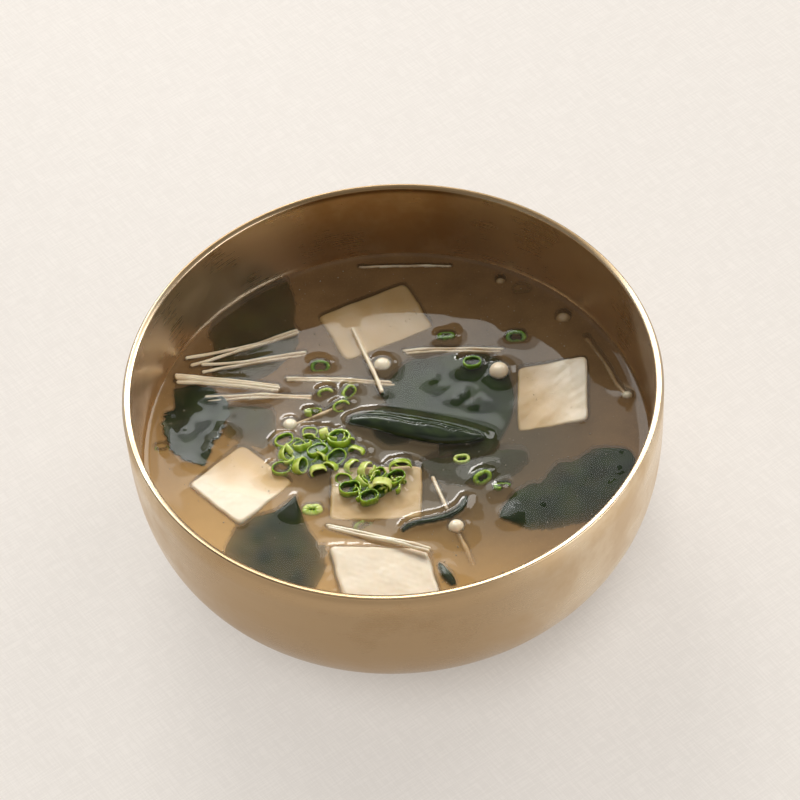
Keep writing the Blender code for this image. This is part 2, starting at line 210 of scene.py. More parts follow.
def round_ends(count: int, length: float, reach: float) -> Array:
    """A factor for each station that falls to nothing at both ends in quarter circles.

    Args:
        count: How many stations.
        length: The path's length.
        reach: How far from each end the rounding starts.

    Returns:
        sqrt(1 - (1 - d / reach) ** 2), with d the distance to the nearer end, and 1 past the reach.
    """
    t = np.linspace(0, 1, count)
    d = np.clip(np.minimum(t, 1 - t) * length / reach, 0, 1)
    return np.sqrt(np.clip(1 - (1 - d) ** 2, 0, 1))


def path_length(path: Array) -> float:
    """The length of a path of points."""
    return float(np.linalg.norm(np.diff(path, axis=0), axis=1).sum())


# --------------------------------------------------------------------------------------------------------
# Meshes and materials
# --------------------------------------------------------------------------------------------------------


def make_piece(name: str, surface: Surface, material: bpy.types.Material,
               merge: float = 1e-7) -> bpy.types.Object:
    """Make an object at the origin from a surface, with its poles merged and its faces smooth.

    Args:
        name: The piece's name.
        surface: Its points, faces and tones.
        material: Its material.
        merge: Points nearer than this, in metres, become one.

    Returns:
        The new object.
    """
    mesh = bpy.data.meshes.new(name)
    count = len(surface.faces)
    mesh.vertices.add(len(surface.points))
    mesh.vertices.foreach_set("co", (surface.points * MM).astype(np.float32).ravel())
    mesh.loops.add(count * 4)
    mesh.loops.foreach_set("vertex_index", surface.faces.astype(np.int32).ravel())
    mesh.polygons.add(count)
    mesh.polygons.foreach_set("loop_start", np.arange(0, count * 4, 4, dtype=np.int32))
    mesh.polygons.foreach_set("loop_total", np.full(count, 4, dtype=np.int32))
    tone = mesh.attributes.new("tone", "FLOAT", "POINT")
    tone.data.foreach_set("value", surface.tone.astype(np.float32))
    mesh.update(calc_edges=True)
    bm = bmesh.new()
    bm.from_mesh(mesh)
    bmesh.ops.remove_doubles(bm, verts=bm.verts, dist=merge)
    bmesh.ops.dissolve_degenerate(bm, edges=bm.edges, dist=merge)
    bm.to_mesh(mesh)
    bm.free()
    mesh.shade_smooth()
    mesh.materials.append(material)
    obj = bpy.data.objects.new(name, mesh)
    bpy.context.scene.collection.objects.link(obj)
    log.info("%s: %d faces", name, len(mesh.polygons))
    return obj


def seat(piece: bpy.types.Object, nodes: list[str]) -> bpy.types.Object:
    """Tie a finished piece to the part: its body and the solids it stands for."""
    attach(piece, BODY)
    if nodes:
        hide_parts(*nodes)
    return piece


class Mix(Enum):
    """How a colour is laid over another."""

    NORMAL = "MIX"
    MULTIPLY = "MULTIPLY"
    SCREEN = "SCREEN"


class Graph:
    """A material's node tree, with a short method for each node that the finishes use."""

    def __init__(self, name: str) -> None:
        """Start an empty tree."""
        self.material = bpy.data.materials.new(name)
        self.material.use_nodes = True
        self.tree = self.material.node_tree
        self.tree.nodes.clear()
        self.output = self.tree.nodes.new("ShaderNodeOutputMaterial")

    def node(self, kind: str, **settings: object) -> bpy.types.Node:
        """Add a node and set its properties."""
        made = self.tree.nodes.new(kind)
        for key, value in settings.items():
            setattr(made, key, value)
        return made

    def feed(self, socket: Socket, value: object) -> None:
        """Link an output to a socket, or set the socket's own value."""
        if isinstance(value, bpy.types.NodeSocket):
            self.tree.links.new(value, socket)
        elif isinstance(value, tuple) and len(value) == 3 and socket.type == "RGBA":
            socket.default_value = (*value, 1.0)
        else:
            socket.default_value = value

    def place(self, scale: tuple = (1.0, 1.0, 1.0), turn: float = 0.0) -> Socket:
        """Object coordinates in metres, stretched and turned about Z.

        Args:
            scale: How much each axis is scaled, after the turn.
            turn: Degrees about Z.

        Returns:
            The vector.
        """
        coordinates = self.node("ShaderNodeTexCoord")
        mapping = self.node("ShaderNodeMapping", vector_type="TEXTURE")
        self.feed(mapping.inputs["Vector"], coordinates.outputs["Object"])
        mapping.inputs["Rotation"].default_value = (0.0, 0.0, math.radians(turn))
        mapping.inputs["Scale"].default_value = tuple(1 / s for s in scale)
        return mapping.outputs["Vector"]

    def axes(self) -> list[Socket]:
        """The Object coordinates' x, y and z."""
        split = self.node("ShaderNodeSeparateXYZ")
        self.feed(split.inputs[0], self.node("ShaderNodeTexCoord").outputs["Object"])
        return list(split.outputs)

    def tone(self) -> Socket:
        """The piece's own tone."""
        return self.node("ShaderNodeAttribute", attribute_name="tone").outputs["Fac"]

    def noise(self, vector: Socket, size: float, detail: float = 3.0, roughness: float = 0.55) -> Socket:
        """Noise whose spots are about the given size in millimetres."""
        made = self.node("ShaderNodeTexNoise")
        self.feed(made.inputs["Vector"], vector)
        made.inputs["Scale"].default_value = 1 / (size * MM)
        made.inputs["Detail"].default_value = detail
        made.inputs["Roughness"].default_value = roughness
        return made.outputs["Fac"]

    def cells(self, vector: Socket, size: float) -> Socket:
        """The distance to the nearest of points scattered about a size in millimetres apart."""
        made = self.node("ShaderNodeTexVoronoi")
        self.feed(made.inputs["Vector"], vector)
        made.inputs["Scale"].default_value = 1 / (size * MM)
        return made.outputs["Distance"]

    def maths(self, operation: str, first: object, second: object = 0.0) -> Socket:
        """One Math node."""
        made = self.node("ShaderNodeMath", operation=operation)
        self.feed(made.inputs[0], first)
        self.feed(made.inputs[1], second)
        return made.outputs[0]

    def ease(self, value: Socket, start: float, end: float, low: float = 0.0, high: float = 1.0) -> Socket:
        """Map start to end onto low to high, smoothly and held past both."""
        made = self.node("ShaderNodeMapRange", interpolation_type="SMOOTHSTEP")
        self.feed(made.inputs["Value"], value)
        for key, number in (("From Min", start), ("From Max", end), ("To Min", low), ("To Max", high)):
            made.inputs[key].default_value = number
        return made.outputs["Result"]

    def mix(self, share: object, first: object, second: object, kind: Mix = Mix.NORMAL) -> Socket:
        """Mix two colours."""
        made = self.node("ShaderNodeMix", data_type="RGBA", blend_type=kind.value)
        self.feed(made.inputs["Factor"], share)
        self.feed(made.inputs[6], first)
        self.feed(made.inputs[7], second)
        return made.outputs[2]

    def soaked(self, colour: Socket, stain: tuple, depth: float = 0.8) -> Socket:
        """Stain a colour by the broth: not at all above the soup's level, and fully at a depth below it."""
        share = self.ease(self.axes()[2], (LEVEL - depth) * MM, (LEVEL + 0.3) * MM, 1.0, 0.0)
        return self.mix(share, colour, self.mix(1.0, colour, stain, Mix.MULTIPLY))

    def bump(self, height: Socket, depth: float, strength: float = 1.0, normal: Socket | None = None) -> Socket:
        """A bump whose full height is a depth in millimetres."""
        made = self.node("ShaderNodeBump")
        self.feed(made.inputs["Height"], height)
        made.inputs["Distance"].default_value = depth * MM
        made.inputs["Strength"].default_value = strength
        if normal is not None:
            self.feed(made.inputs["Normal"], normal)
        return made.outputs["Normal"]

    def principled(self, **values: object) -> bpy.types.Node:
        """Add a Principled shader; an underscore in a name stands for a space."""
        made = self.node("ShaderNodeBsdfPrincipled")
        for key, value in values.items():
            self.feed(made.inputs[key.replace("_", " ")], value)
        return made

    def finish(self, shader: Socket) -> bpy.types.Material:
        """Link the surface and hand the material over."""
        self.feed(self.output.inputs["Surface"], shader)
        return self.material


# --------------------------------------------------------------------------------------------------------
# Finishes
# --------------------------------------------------------------------------------------------------------


@dataclass(frozen=True)
class BrassFinish:
    """Satin brass: turning lines that run round the bowl, a fine grain and soft patches of tarnish, with painted shade
    on the front of the outer wall, on the back of the lip and on the middle of the inner wall, and a painted highlight
    on the inner wall's back sides.
    """

    bright: tuple = (0.79, 0.66, 0.485)
    tarnished: tuple = (0.64, 0.48, 0.30)
    # The painted shade colour: the front of the outer wall goes to it, and the back of the lip to a darker copy.
    painted_shade: tuple = (0.41, 0.275, 0.145)
    # The colour that the painted shade on the inner wall multiplies in.
    inside: tuple = (0.84, 0.70, 0.53)
    # The painted highlight colour on the inner wall's back left and back right.
    painted_highlight: tuple = (0.99, 0.80, 0.56)
    roughness: float = 0.30
    line_size: float = 0.35
    line_reach: float = 0.5

    def build(self) -> bpy.types.Material:
        """Build the material; the lines read (cos a, sin a, z + r), so they have no seam."""
        g = Graph("brass")
        x, y, z = g.axes()
        radius = g.maths("SQRT", g.maths("ADD", g.maths("MULTIPLY", x, x), g.maths("MULTIPLY", y, y)))
        safe = g.maths("MAXIMUM", radius, 0.001)
        around = g.node("ShaderNodeCombineXYZ")
        for k, axis in enumerate((x, y)):
            direction = g.maths("DIVIDE", axis, safe)
            g.feed(around.inputs[k], g.maths("MULTIPLY", direction, self.line_reach * MM))
        g.feed(around.inputs[2], g.maths("ADD", z, radius))
        lines = g.noise(around.outputs[0], self.line_size, 4.0, 0.7)
        patches = g.noise(g.place(), 16.0, 4.0, 0.6)
        spots = g.noise(g.place(), 2.5, 3.0, 0.6)
        grain = g.noise(g.place(), 0.22, 2.0, 0.6)
        tarnish = g.mix(g.ease(patches, 0.35, 0.70), self.bright, self.tarnished)
        worn = g.mix(g.ease(spots, 0.60, 0.78, 0.0, 0.25), tarnish, self.tarnished)
        streaked = g.mix(g.ease(lines, 0.35, 0.7, 0.0, 0.14), worn, self.tarnished)
        # Painted shade: the outer wall darkens towards the front, a little unevenly.
        front = g.maths("ADD", g.maths("MULTIPLY", x, -0.26), g.maths("MULTIPLY", y, -0.966))
        painted_front_shade = g.maths("MULTIPLY", g.ease(front, 0.034, 0.068), g.ease(patches, 0.2, 0.7, 1.0, 0.8))
        streaked = g.mix(painted_front_shade, streaked, self.painted_shade)
        # Painted shade: the back of the lip is darkened.
        lip = g.maths("MULTIPLY", g.ease(y, 0.012, 0.050), g.ease(z, 0.0512, 0.0528))
        streaked = g.mix(lip, streaked, tuple(0.62 * c for c in self.painted_shade))
        # Painted shade: the inner wall is darker towards the middle of x, at its back and front.
        middle = g.ease(g.maths("ABSOLUTE", x), 0.012, 0.050, 1.0, 0.25)
        painted_inner_shade = g.maths("MULTIPLY", g.ease(g.tone(), 0.55, 1.0), middle)
        streaked = g.mix(painted_inner_shade, streaked, g.mix(1.0, streaked, self.inside, Mix.MULTIPLY))
        # Painted highlight: the inner wall is brighter at its back left and back right.
        painted_inner_highlight = g.maths("MULTIPLY", g.ease(g.maths("ABSOLUTE", x), 0.016, 0.040), g.ease(y, 0.000, 0.030))
        painted_inner_highlight = g.maths("MULTIPLY", g.ease(g.tone(), 0.55, 1.0), painted_inner_highlight)
        streaked = g.mix(painted_inner_highlight, streaked, self.painted_highlight)
        rough = g.maths("ADD", g.ease(patches, 0.3, 0.7, self.roughness - 0.04, self.roughness + 0.05),
                        g.ease(lines, 0.3, 0.7, -0.03, 0.04))
        normal = g.bump(grain, 0.005, 0.5, g.bump(lines, 0.005, 0.6))
        shader = g.principled(Base_Color=streaked, Roughness=rough, Metallic=1.0, Normal=normal)
        return g.finish(shader.outputs[0])


@dataclass(frozen=True)
class BrothFinish:
    """The broth's skin: a veil of broth over what lies near it, under a wet gloss."""

    pale: tuple = (0.195, 0.115, 0.050)
    deep: tuple = (0.145, 0.083, 0.036)
    # The colour of the pale grains, and of the painted light on the front left.
    glow: tuple = (0.50, 0.31, 0.120)
    # The painted shade colour over the middle of the soup.
    painted_middle_shade: tuple = (0.085, 0.068, 0.042)
    gloss: float = 0.03
    ior: float = 1.34

    def cloud(self, g: Graph) -> Socket:
        """The broth's colour: slow clouds, fine grains, painted light that makes it brighter and warmer towards the
        front left, and painted shade over the middle.
        """
        x, y, _ = g.axes()
        clouds = g.noise(g.place(), 13.0, 4.0, 0.6)
        grains = g.noise(g.place(), 0.5, 2.0, 0.7)
        base = g.mix(g.ease(clouds, 0.3, 0.7), self.deep, self.pale)
        base = g.mix(g.ease(grains, 0.55, 0.8, 0.0, 0.25), base, self.glow)
        # Painted light: the broth is brighter and warmer towards the front left.
        front = g.maths("ADD", g.maths("MULTIPLY", x, -0.50), g.maths("MULTIPLY", y, -0.86))
        base = g.mix(g.ease(front, -0.005, 0.056), base, self.glow)
        # Painted shade: a darker, greyer patch over the middle of the soup, just right of its centre.
        across, along = g.maths("MULTIPLY", g.maths("ADD", x, -0.010), 0.8), g.maths("ADD", y, -0.002)
        away = g.maths("SQRT", g.maths("ADD", g.maths("MULTIPLY", across, across), g.maths("MULTIPLY", along, along)))
        return g.mix(g.ease(away, 0.018, 0.046, 0.85, 0.0), base, self.painted_middle_shade)

    def build_surface(self) -> bpy.types.Material:
        """The skin: the tone says how solid the veil is at each point."""
        g = Graph("broth_surface")
        swirl = g.noise(g.place(), 9.0, 3.0, 0.5)
        veil = g.maths("MULTIPLY", g.tone(), g.ease(swirl, 0.3, 0.7, 0.9, 1.0))
        body = g.node("ShaderNodeBsdfDiffuse")
        g.feed(body.inputs["Color"], self.cloud(g))
        clear = g.node("ShaderNodeBsdfTransparent")
        under = g.node("ShaderNodeMixShader")
        g.feed(under.inputs[0], veil)
        g.feed(under.inputs[1], clear.outputs[0])
        g.feed(under.inputs[2], body.outputs[0])
        sheen = g.node("ShaderNodeBsdfGlossy")
        sheen.inputs["Roughness"].default_value = self.gloss
        shine = g.node("ShaderNodeFresnel")
        shine.inputs["IOR"].default_value = self.ior
        top = g.node("ShaderNodeMixShader")
        g.feed(top.inputs[0], shine.outputs[0])
        g.feed(top.inputs[1], under.outputs[0])
        g.feed(top.inputs[2], sheen.outputs[0])
        return g.finish(top.outputs[0])

    def build_specks(self) -> bpy.types.Material:
        """Pale grains of bean paste that float on the skin."""
        g = Graph("broth_specks")
        shade = g.mix(g.noise(g.place(), 4.0), (0.36, 0.34, 0.28), (0.20, 0.18, 0.13))
        return g.finish(g.principled(Base_Color=shade, Roughness=0.3, IOR=1.34).outputs[0])

    def build_body(self) -> bpy.types.Material:
        """The cloudy broth below the skin."""
        g = Graph("broth_body")
        shader = g.principled(Base_Color=self.cloud(g), Roughness=0.6, IOR=1.34)
        return g.finish(shader.outputs[0])


@dataclass(frozen=True)
class TofuFinish:
    """Soft bean curd: pale cream, faintly mottled, wet on top, with light carried under the surface."""

    cream: tuple = (0.76, 0.665, 0.52)
    shade: tuple = (0.70, 0.585, 0.42)
    stain: tuple = (0.86, 0.66, 0.34)
    wetness: float = 0.3

    def build(self) -> bpy.types.Material:
        """Build the material."""
        g = Graph("tofu")
        mottle = g.noise(g.place(), 6.0, 4.0, 0.6)
        pores = g.cells(g.place(), 0.8)
        fine = g.noise(g.place(), 0.7, 3.0, 0.6)
        colour = g.mix(g.ease(mottle, 0.3, 0.75, 0.0, 0.7), self.cream, self.shade)
        colour = g.mix(g.ease(pores, 0.0, 0.25, 0.22, 0.0), colour, self.shade)
        colour = g.soaked(colour, self.stain)
        normal = g.bump(fine, 0.015, 0.4)
        shader = g.principled(Base_Color=colour, Roughness=g.ease(fine, 0.3, 0.7, 0.28, 0.42), IOR=1.4,
                              Normal=normal)
        shader.inputs["Subsurface Weight"].default_value = 0.25
        shader.inputs["Subsurface Radius"].default_value = (0.0022, 0.0014, 0.0008)
        shader.inputs["Subsurface Scale"].default_value = 1.0
        shader.inputs["Coat Weight"].default_value = self.wetness
        shader.inputs["Coat Roughness"].default_value = 0.08
        return g.finish(shader.outputs[0])


@dataclass(frozen=True)
class WakameFinish:
    """Sea leaf: near black green, veined, with a wet skin and fine pale grains settled on it."""

    dark: tuple = (0.010, 0.018, 0.007)
    green: tuple = (0.026, 0.042, 0.010)
    grain: tuple = (0.24, 0.25, 0.17)
    gloss: float = 0.16

    def build(self) -> bpy.types.Material:
        """Build the material; a higher tone is greener."""
        g = Graph("wakame")
        veins = g.noise(g.place((1.0, 0.3, 1.0), 30.0), 2.2, 4.0, 0.65)
        patches = g.noise(g.place(), 7.0, 3.0, 0.55)
        fine = g.noise(g.place(), 0.5, 3.0, 0.6)
        grains = g.cells(g.place(), 2.4)
        share = g.maths("MULTIPLY", g.tone(), g.ease(patches, 0.25, 0.75, 0.4, 1.2))
        colour = g.mix(share, self.dark, self.green)
        colour = g.mix(g.ease(veins, 0.5, 0.75, 0.0, 0.5), colour, self.dark)
        dusted = g.maths("MULTIPLY", g.ease(grains, 0.035, 0.075, 1.0, 0.0), g.ease(patches, 0.45, 0.6))
        colour = g.mix(dusted, colour, self.grain)
        normal = g.bump(veins, 0.03, 0.4, g.bump(fine, 0.008, 0.4))
        shader = g.principled(Base_Color=colour, Roughness=g.ease(fine, 0.3, 0.7, self.gloss, 0.26), IOR=1.35,
                              Normal=normal)
        wet = g.ease(g.axes()[2], (LEVEL - 0.05) * MM, (LEVEL + 0.35) * MM, 0.05, 0.6)
        g.feed(shader.inputs["Specular IOR Level"], wet)
        return g.finish(shader.outputs[0])


@dataclass(frozen=True)
class MushroomFinish:
    """Enoki: ivory flesh, a little browner where the tone is high, with a slick skin."""

    ivory: tuple = (0.84, 0.75, 0.58)
    tan: tuple = (0.58, 0.43, 0.26)
    stain: tuple = (0.80, 0.62, 0.40)

    def build(self) -> bpy.types.Material:
        """Build the material."""
        g = Graph("mushroom")
        streaks = g.noise(g.place((1.0, 3.0, 1.0)), 1.6, 3.0, 0.6)
        fine = g.noise(g.place(), 0.3, 2.0, 0.6)
        colour = g.mix(g.tone(), self.ivory, self.tan)
        colour = g.mix(g.ease(streaks, 0.45, 0.8, 0.0, 0.35), colour, self.tan)
        colour = g.soaked(colour, self.stain)
        shader = g.principled(Base_Color=colour, Roughness=g.ease(fine, 0.3, 0.7, 0.16, 0.3), IOR=1.4,
                              Normal=g.bump(fine, 0.02, 0.5))
        shader.inputs["Subsurface Weight"].default_value = 0.2
        shader.inputs["Subsurface Radius"].default_value = (0.0014, 0.0009, 0.0005)
        shader.inputs["Subsurface Scale"].default_value = 1.0
        shader.inputs["Coat Weight"].default_value = 0.5
        shader.inputs["Coat Roughness"].default_value = 0.06
        return g.finish(shader.outputs[0])


@dataclass(frozen=True)
class OnionFinish:
    """Sliced onion green: from the pale heart of a slice, at tone 0, to its dark outer skin, at tone 1; the slices'
    tone also carries painted shade in the rings' hollows and between the slices of a heap.
    """

    heart: tuple = (0.60, 0.66, 0.20)
    lime: tuple = (0.32, 0.44, 0.026)
    leaf: tuple = (0.12, 0.25, 0.008)
    skin: tuple = (0.025, 0.065, 0.003)

    def build(self) -> bpy.types.Material:
        """Build the material."""
        g = Graph("onion_green")
        fibres = g.noise(g.place(), 0.35, 3.0, 0.7)
        blotch = g.noise(g.place(), 2.0, 3.0, 0.5)
        tone = g.maths("ADD", g.tone(), g.ease(blotch, 0.3, 0.7, -0.08, 0.08))
        colour = g.mix(g.ease(tone, 0.0, 0.35), self.heart, self.lime)
        colour = g.mix(g.ease(tone, 0.3, 0.65), colour, self.leaf)
        colour = g.mix(g.ease(tone, 0.6, 1.0), colour, self.skin)
        colour = g.mix(g.ease(fibres, 0.5, 0.8, 0.0, 0.3), colour, self.lime)
        shader = g.principled(Base_Color=colour, Roughness=g.ease(fibres, 0.3, 0.7, 0.15, 0.32), IOR=1.4,
                              Normal=g.bump(fibres, 0.06, 0.5))
        shader.inputs["Subsurface Weight"].default_value = 0.5
        shader.inputs["Subsurface Radius"].default_value = (0.0009, 0.0014, 0.0003)
        shader.inputs["Subsurface Scale"].default_value = 1.0
        shader.inputs["Coat Weight"].default_value = 0.6
        shader.inputs["Coat Roughness"].default_value = 0.05
        return g.finish(shader.outputs[0])


@dataclass(frozen=True)
class LinenFinish:
    """The pale cloth under the bowl: a fine slanting weave, with a glow of its own by emission, a painted soft shadow
    round the bowl and painted shade towards the right.
    """

    pale: tuple = (0.30, 0.28, 0.262)
    thread: tuple = (0.275, 0.255, 0.237)
    # The colour of the cloth's glow, its emission.
    glow: tuple = (0.57, 0.535, 0.495)

    def build(self) -> bpy.types.Material:
        """Build the material."""
        g = Graph("linen")
        one = g.noise(g.place((1.0, 0.06, 1.0), 32.0), 0.5, 2.0, 0.6)
        other = g.noise(g.place((0.06, 1.0, 1.0), 32.0), 0.5, 2.0, 0.6)
        threads = g.maths("ADD", g.maths("MULTIPLY", one, 0.5), g.maths("MULTIPLY", other, 0.5))
        colour = g.mix(g.ease(threads, 0.42, 0.62), self.thread, self.pale)
        x, y, _ = g.axes()
        # Painted shade: the glow is a tenth dimmer towards the right.
        dim = g.ease(x, -0.10, 0.13, 1.0, 0.90)
        # Painted soft shadow: close round the bowl the glow falls to about a third.
        x, y = g.maths("SUBTRACT", x, 0.006), g.maths("ADD", y, 0.002)
        far = g.maths("SQRT", g.maths("ADD", g.maths("MULTIPLY", x, x), g.maths("MULTIPLY", y, y)))
        glow = g.mix(1.0, g.mix(g.ease(threads, 0.42, 0.62, 0.0, 1.0), tuple(0.96 * c for c in self.glow), self.glow),
                     g.mix(g.ease(far, 0.036, 0.073), (0.35, 0.33, 0.31), (1.0, 1.0, 1.0)), Mix.MULTIPLY)
        shader = g.principled(Base_Color=colour, Roughness=0.9, Normal=g.bump(threads, 0.12, 0.4),
                              Emission_Color=glow)
        g.feed(shader.inputs["Emission Strength"], dim)
        shader.inputs["Specular IOR Level"].default_value = 0.1
        return g.finish(shader.outputs[0])


# --------------------------------------------------------------------------------------------------------
# The bowl
# --------------------------------------------------------------------------------------------------------


@dataclass
class Bowl:
    """The turned bowl: two superellipse walls, a rounded lip and a flat base."""

    finish: BrassFinish
    rim_radius: float = RIM_RADIUS
    height: float = RIM_HEIGHT
    widest_drop: float = 1.4
    outer_depth: float = 53.3
    outer_squareness: float = 4.08
    lip_outer: float = 71.5
    lip_inner: float = 69.7
    inner_depth: float = 50.6
    inner_squareness: float = 4.05
    base_radius: float = 34.0
    steps: int = 300
    wall_points: int = 90
    lip_points: int = 24
    lip_slope: float = 0.55

    def wall(self, radius: float, depth: float, squareness: float, bottom: float | None, count: int,
             top: float | None = None) -> Array:
        """Points of a superellipse wall, from its top to its floor or to the bottom height given.

        At an angle a, r = radius * cos(a) ** (2 / n) and the drop below the widest height is
        depth * sin(a) ** (2 / n), where n is the squareness.

        Args:
            radius: The widest radius.
            depth: From the widest height to the floor.
            squareness: The superellipse's n.
            bottom: The height to stop at, or None for the axis.
            count: How many points.
            top: The height to start at, or None for the widest height.

        Returns:
            Rows of radius and height.
        """
        widest = self.height - self.widest_drop
        angles = [0.0 if h is None else math.asin(((widest - h) / depth) ** (squareness / 2))
                  for h in (top, bottom)]
        if bottom is None:
            angles[1] = math.pi / 2
        a = np.linspace(angles[0], angles[1], count)
        r = radius * np.clip(np.cos(a), 0, 1) ** (2 / squareness)
        z = widest - depth * np.sin(a) ** (2 / squareness)
        if bottom is None:
            r[-1] = 0.0
        return np.column_stack([r, z])

    def inner_radius(self, height: float) -> float:
        """The radius of the inner face at a height."""
        share = (self.height - self.widest_drop - height) / self.inner_depth
        return self.lip_inner * (1 - share**self.inner_squareness) ** (1 / self.inner_squareness)

    def profile(self) -> Array:
        """The whole closed profile, from the middle of the floor over the lip to the middle of the base."""
        inner = self.wall(self.lip_inner, self.inner_depth, self.inner_squareness, None, self.wall_points)
        outer = self.wall(self.rim_radius, self.outer_depth, self.outer_squareness, 0.0, self.wall_points)
        half = (self.lip_outer - self.lip_inner) / 2
        a = np.linspace(math.pi, 0, self.lip_points)
        across = np.sign(np.cos(a)) * np.abs(np.cos(a)) ** 0.75
        lift = half * np.sin(a) ** 0.75 * (1 - self.lip_slope * (1 - across) / 2)
        lip = np.column_stack([(self.lip_outer + self.lip_inner) / 2 + half * across, self.height - half + lift])
        base = np.column_stack([np.linspace(self.base_radius, 0, 8), np.zeros(8)])
        return np.vstack([inner[::-1], lip, outer, base])

    def surface(self) -> Surface:
        """Turn the profile; the tone is 1 inside, falls over the lip, and is 0 outside."""
        profile = self.profile()
        place = np.arange(len(profile))
        tone = np.clip((self.wall_points + self.lip_points - place) / self.lip_points, 0, 1)
        return outwards(grid_surface(lathe(profile, self.steps), wrap_columns=True, tone=tone[:, None]))

    def build(self) -> bpy.types.Object:
        """Make the bowl, in place of its solid."""
        return seat(make_piece("bowl_brass", self.surface(), self.finish.build()), ["bowl"])


# --------------------------------------------------------------------------------------------------------
# What floats in the soup
# --------------------------------------------------------------------------------------------------------


@dataclass
class TofuBlock:
    """A cut block; rise is its top above the soup at its centre, and skew leans its sides seen from above."""

    node: str
    centre: tuple
    length: float
    width: float
    turn: float
    skew: float
    rise: float
    tilt: tuple
    seed: int
    flare: float = 0.03
    pull: float = 0.08
    thickness: float = 13.0
    edge: float = 0.7
    cornering: float = 14.0
    around: int = 224

    def surface(self) -> Surface:
        """The block's skin, by the angle round its outline and the way from the middle of its top.

        The outline stands at 1 / (|cos a| ** n + |sin a| ** n) ** (1 / n) of the half sizes. It grows from
        nothing over the top, rounds the edge in a quarter circle, falls down the side and closes below.
        """
        a = np.linspace(0, math.tau, self.around, endpoint=False)
        n = self.cornering
        reach = (np.abs(np.cos(a)) ** n + np.abs(np.sin(a)) ** n) ** (-1 / n)
        outline = np.column_stack([np.cos(a) * reach, np.sin(a) * reach])
        half = min(self.length, self.width) / 2
        bend = np.linspace(0, math.pi / 2, 7)
        ease = self.edge / half
        top = np.column_stack([np.linspace(0, 1 - ease, 36)[:-1], np.zeros(35)])
        rim = np.column_stack([1 - ease * (1 - np.sin(bend)), -self.edge * (1 - np.cos(bend))])
        side = np.column_stack([np.ones(16), np.linspace(-self.edge, -self.thickness + self.edge, 18)[1:-1]])
        low = np.column_stack([rim[::-1, 0], -self.thickness - rim[::-1, 1]])
        floor = np.column_stack([np.linspace(1 - ease, 0, 10)[1:], np.full(9, -self.thickness)])
        rows = np.vstack([top, rim, side, low, floor])
        wider = rows[:, :1] * (1 - self.flare * rows[:, 1:2] / self.thickness)
        x = wider * outline[:, 0] * self.length / 2
        y = wider * outline[:, 1] * self.width / 2
        z = np.repeat(rows[:, 1:2], self.around, axis=1)
        x, y, z = (x + 0.10 * waves(y, z, 8.0, self.seed) + 0.02 * waves(y, z, 2.0, self.seed + 1),
                   y + 0.10 * waves(x, z, 8.0, self.seed + 2) + 0.02 * waves(x, z, 2.0, self.seed + 3),
                   z + 0.06 * waves(x, y, 11.0, self.seed + 4) + 0.01 * waves(x, y, 2.5, self.seed + 5))
        points = np.stack([x + self.skew * y, y, z], axis=-1)
        points = points @ turn_matrix(*self.tilt, self.turn).T
        points += np.array([*self.centre, LEVEL + self.rise])
        return outwards(grid_surface(points, wrap_columns=True))


@dataclass
class LeafSheet:
    """A sheet of sea leaf along a spine of (x, y, half width, rise above the soup)."""

    name: str
    nodes: list
    spine: list
    seed: int
    ripple: float = 0.35
    lobes: float = 0.12
    curl: float = -1.6
    fray: float = 0.0
    thickness: float = 0.7
    bumps: list = field(default_factory=list)
    pull: float = 0.9
    rows: int = 150
    around: int = 100

    def surface(self) -> Surface:
        """The leaf's skin, by the way along its spine and round its thin section.

        Each edge stands at the half width times 1 + lobes * waves along it. The sheet then moves up and
        down by ripple * waves, by curl * s ** 4 towards its edges and by a bell at each bump.
        """
        path = smooth_path(self.spine, self.rows)
        length = path_length(path[:, :2])
        t = np.linspace(0, length, self.rows)
        c = np.cos(np.linspace(0, math.tau, self.around, endpoint=False))
        edges = [1 + self.lobes * (waves(t, 0 * t, 11.0, self.seed + k) + 0.5 * waves(t, 0 * t, 3.0, self.seed + 9 + k))
                 + self.fray * waves(t, 0 * t, 1.7, self.seed + 12 + k) for k in (0, 1)]
        width = path[:, 2:3] * np.where(c > 0, edges[0][:, None], edges[1][:, None])
        ends = round_ends(self.rows, length, np.mean(path[:, 2]) * 0.8)
        width = width * ends[:, None]
        centre = np.column_stack([path[:, :2], LEVEL + path[:, 3] - self.thickness / 2])
        half = self.thickness / 2 * np.sqrt(ends)
        points = tube(centre, width, half, self.around, 2.6)
        s = np.sign(c) * np.abs(c) ** (2 / 2.6)
        x, y = points[..., 0], points[..., 1]
        lift = self.ripple * waves(x, y, 7.0, self.seed + 20) + 0.12 * self.ripple * waves(x, y, 3.2, self.seed + 21)
        lift = lift + self.curl * np.abs(s) ** 4
        for bx, by, height, radius in self.bumps:
            lift = lift + height * np.exp(-((x - bx) ** 2 + (y - by) ** 2) / radius**2)
        points[..., 2] += lift
        tone = np.clip(0.5 + 0.35 * waves(x, y, 9.0, self.seed + 30), 0, 1)
        return outwards(grid_surface(points, wrap_columns=True, tone=tone))


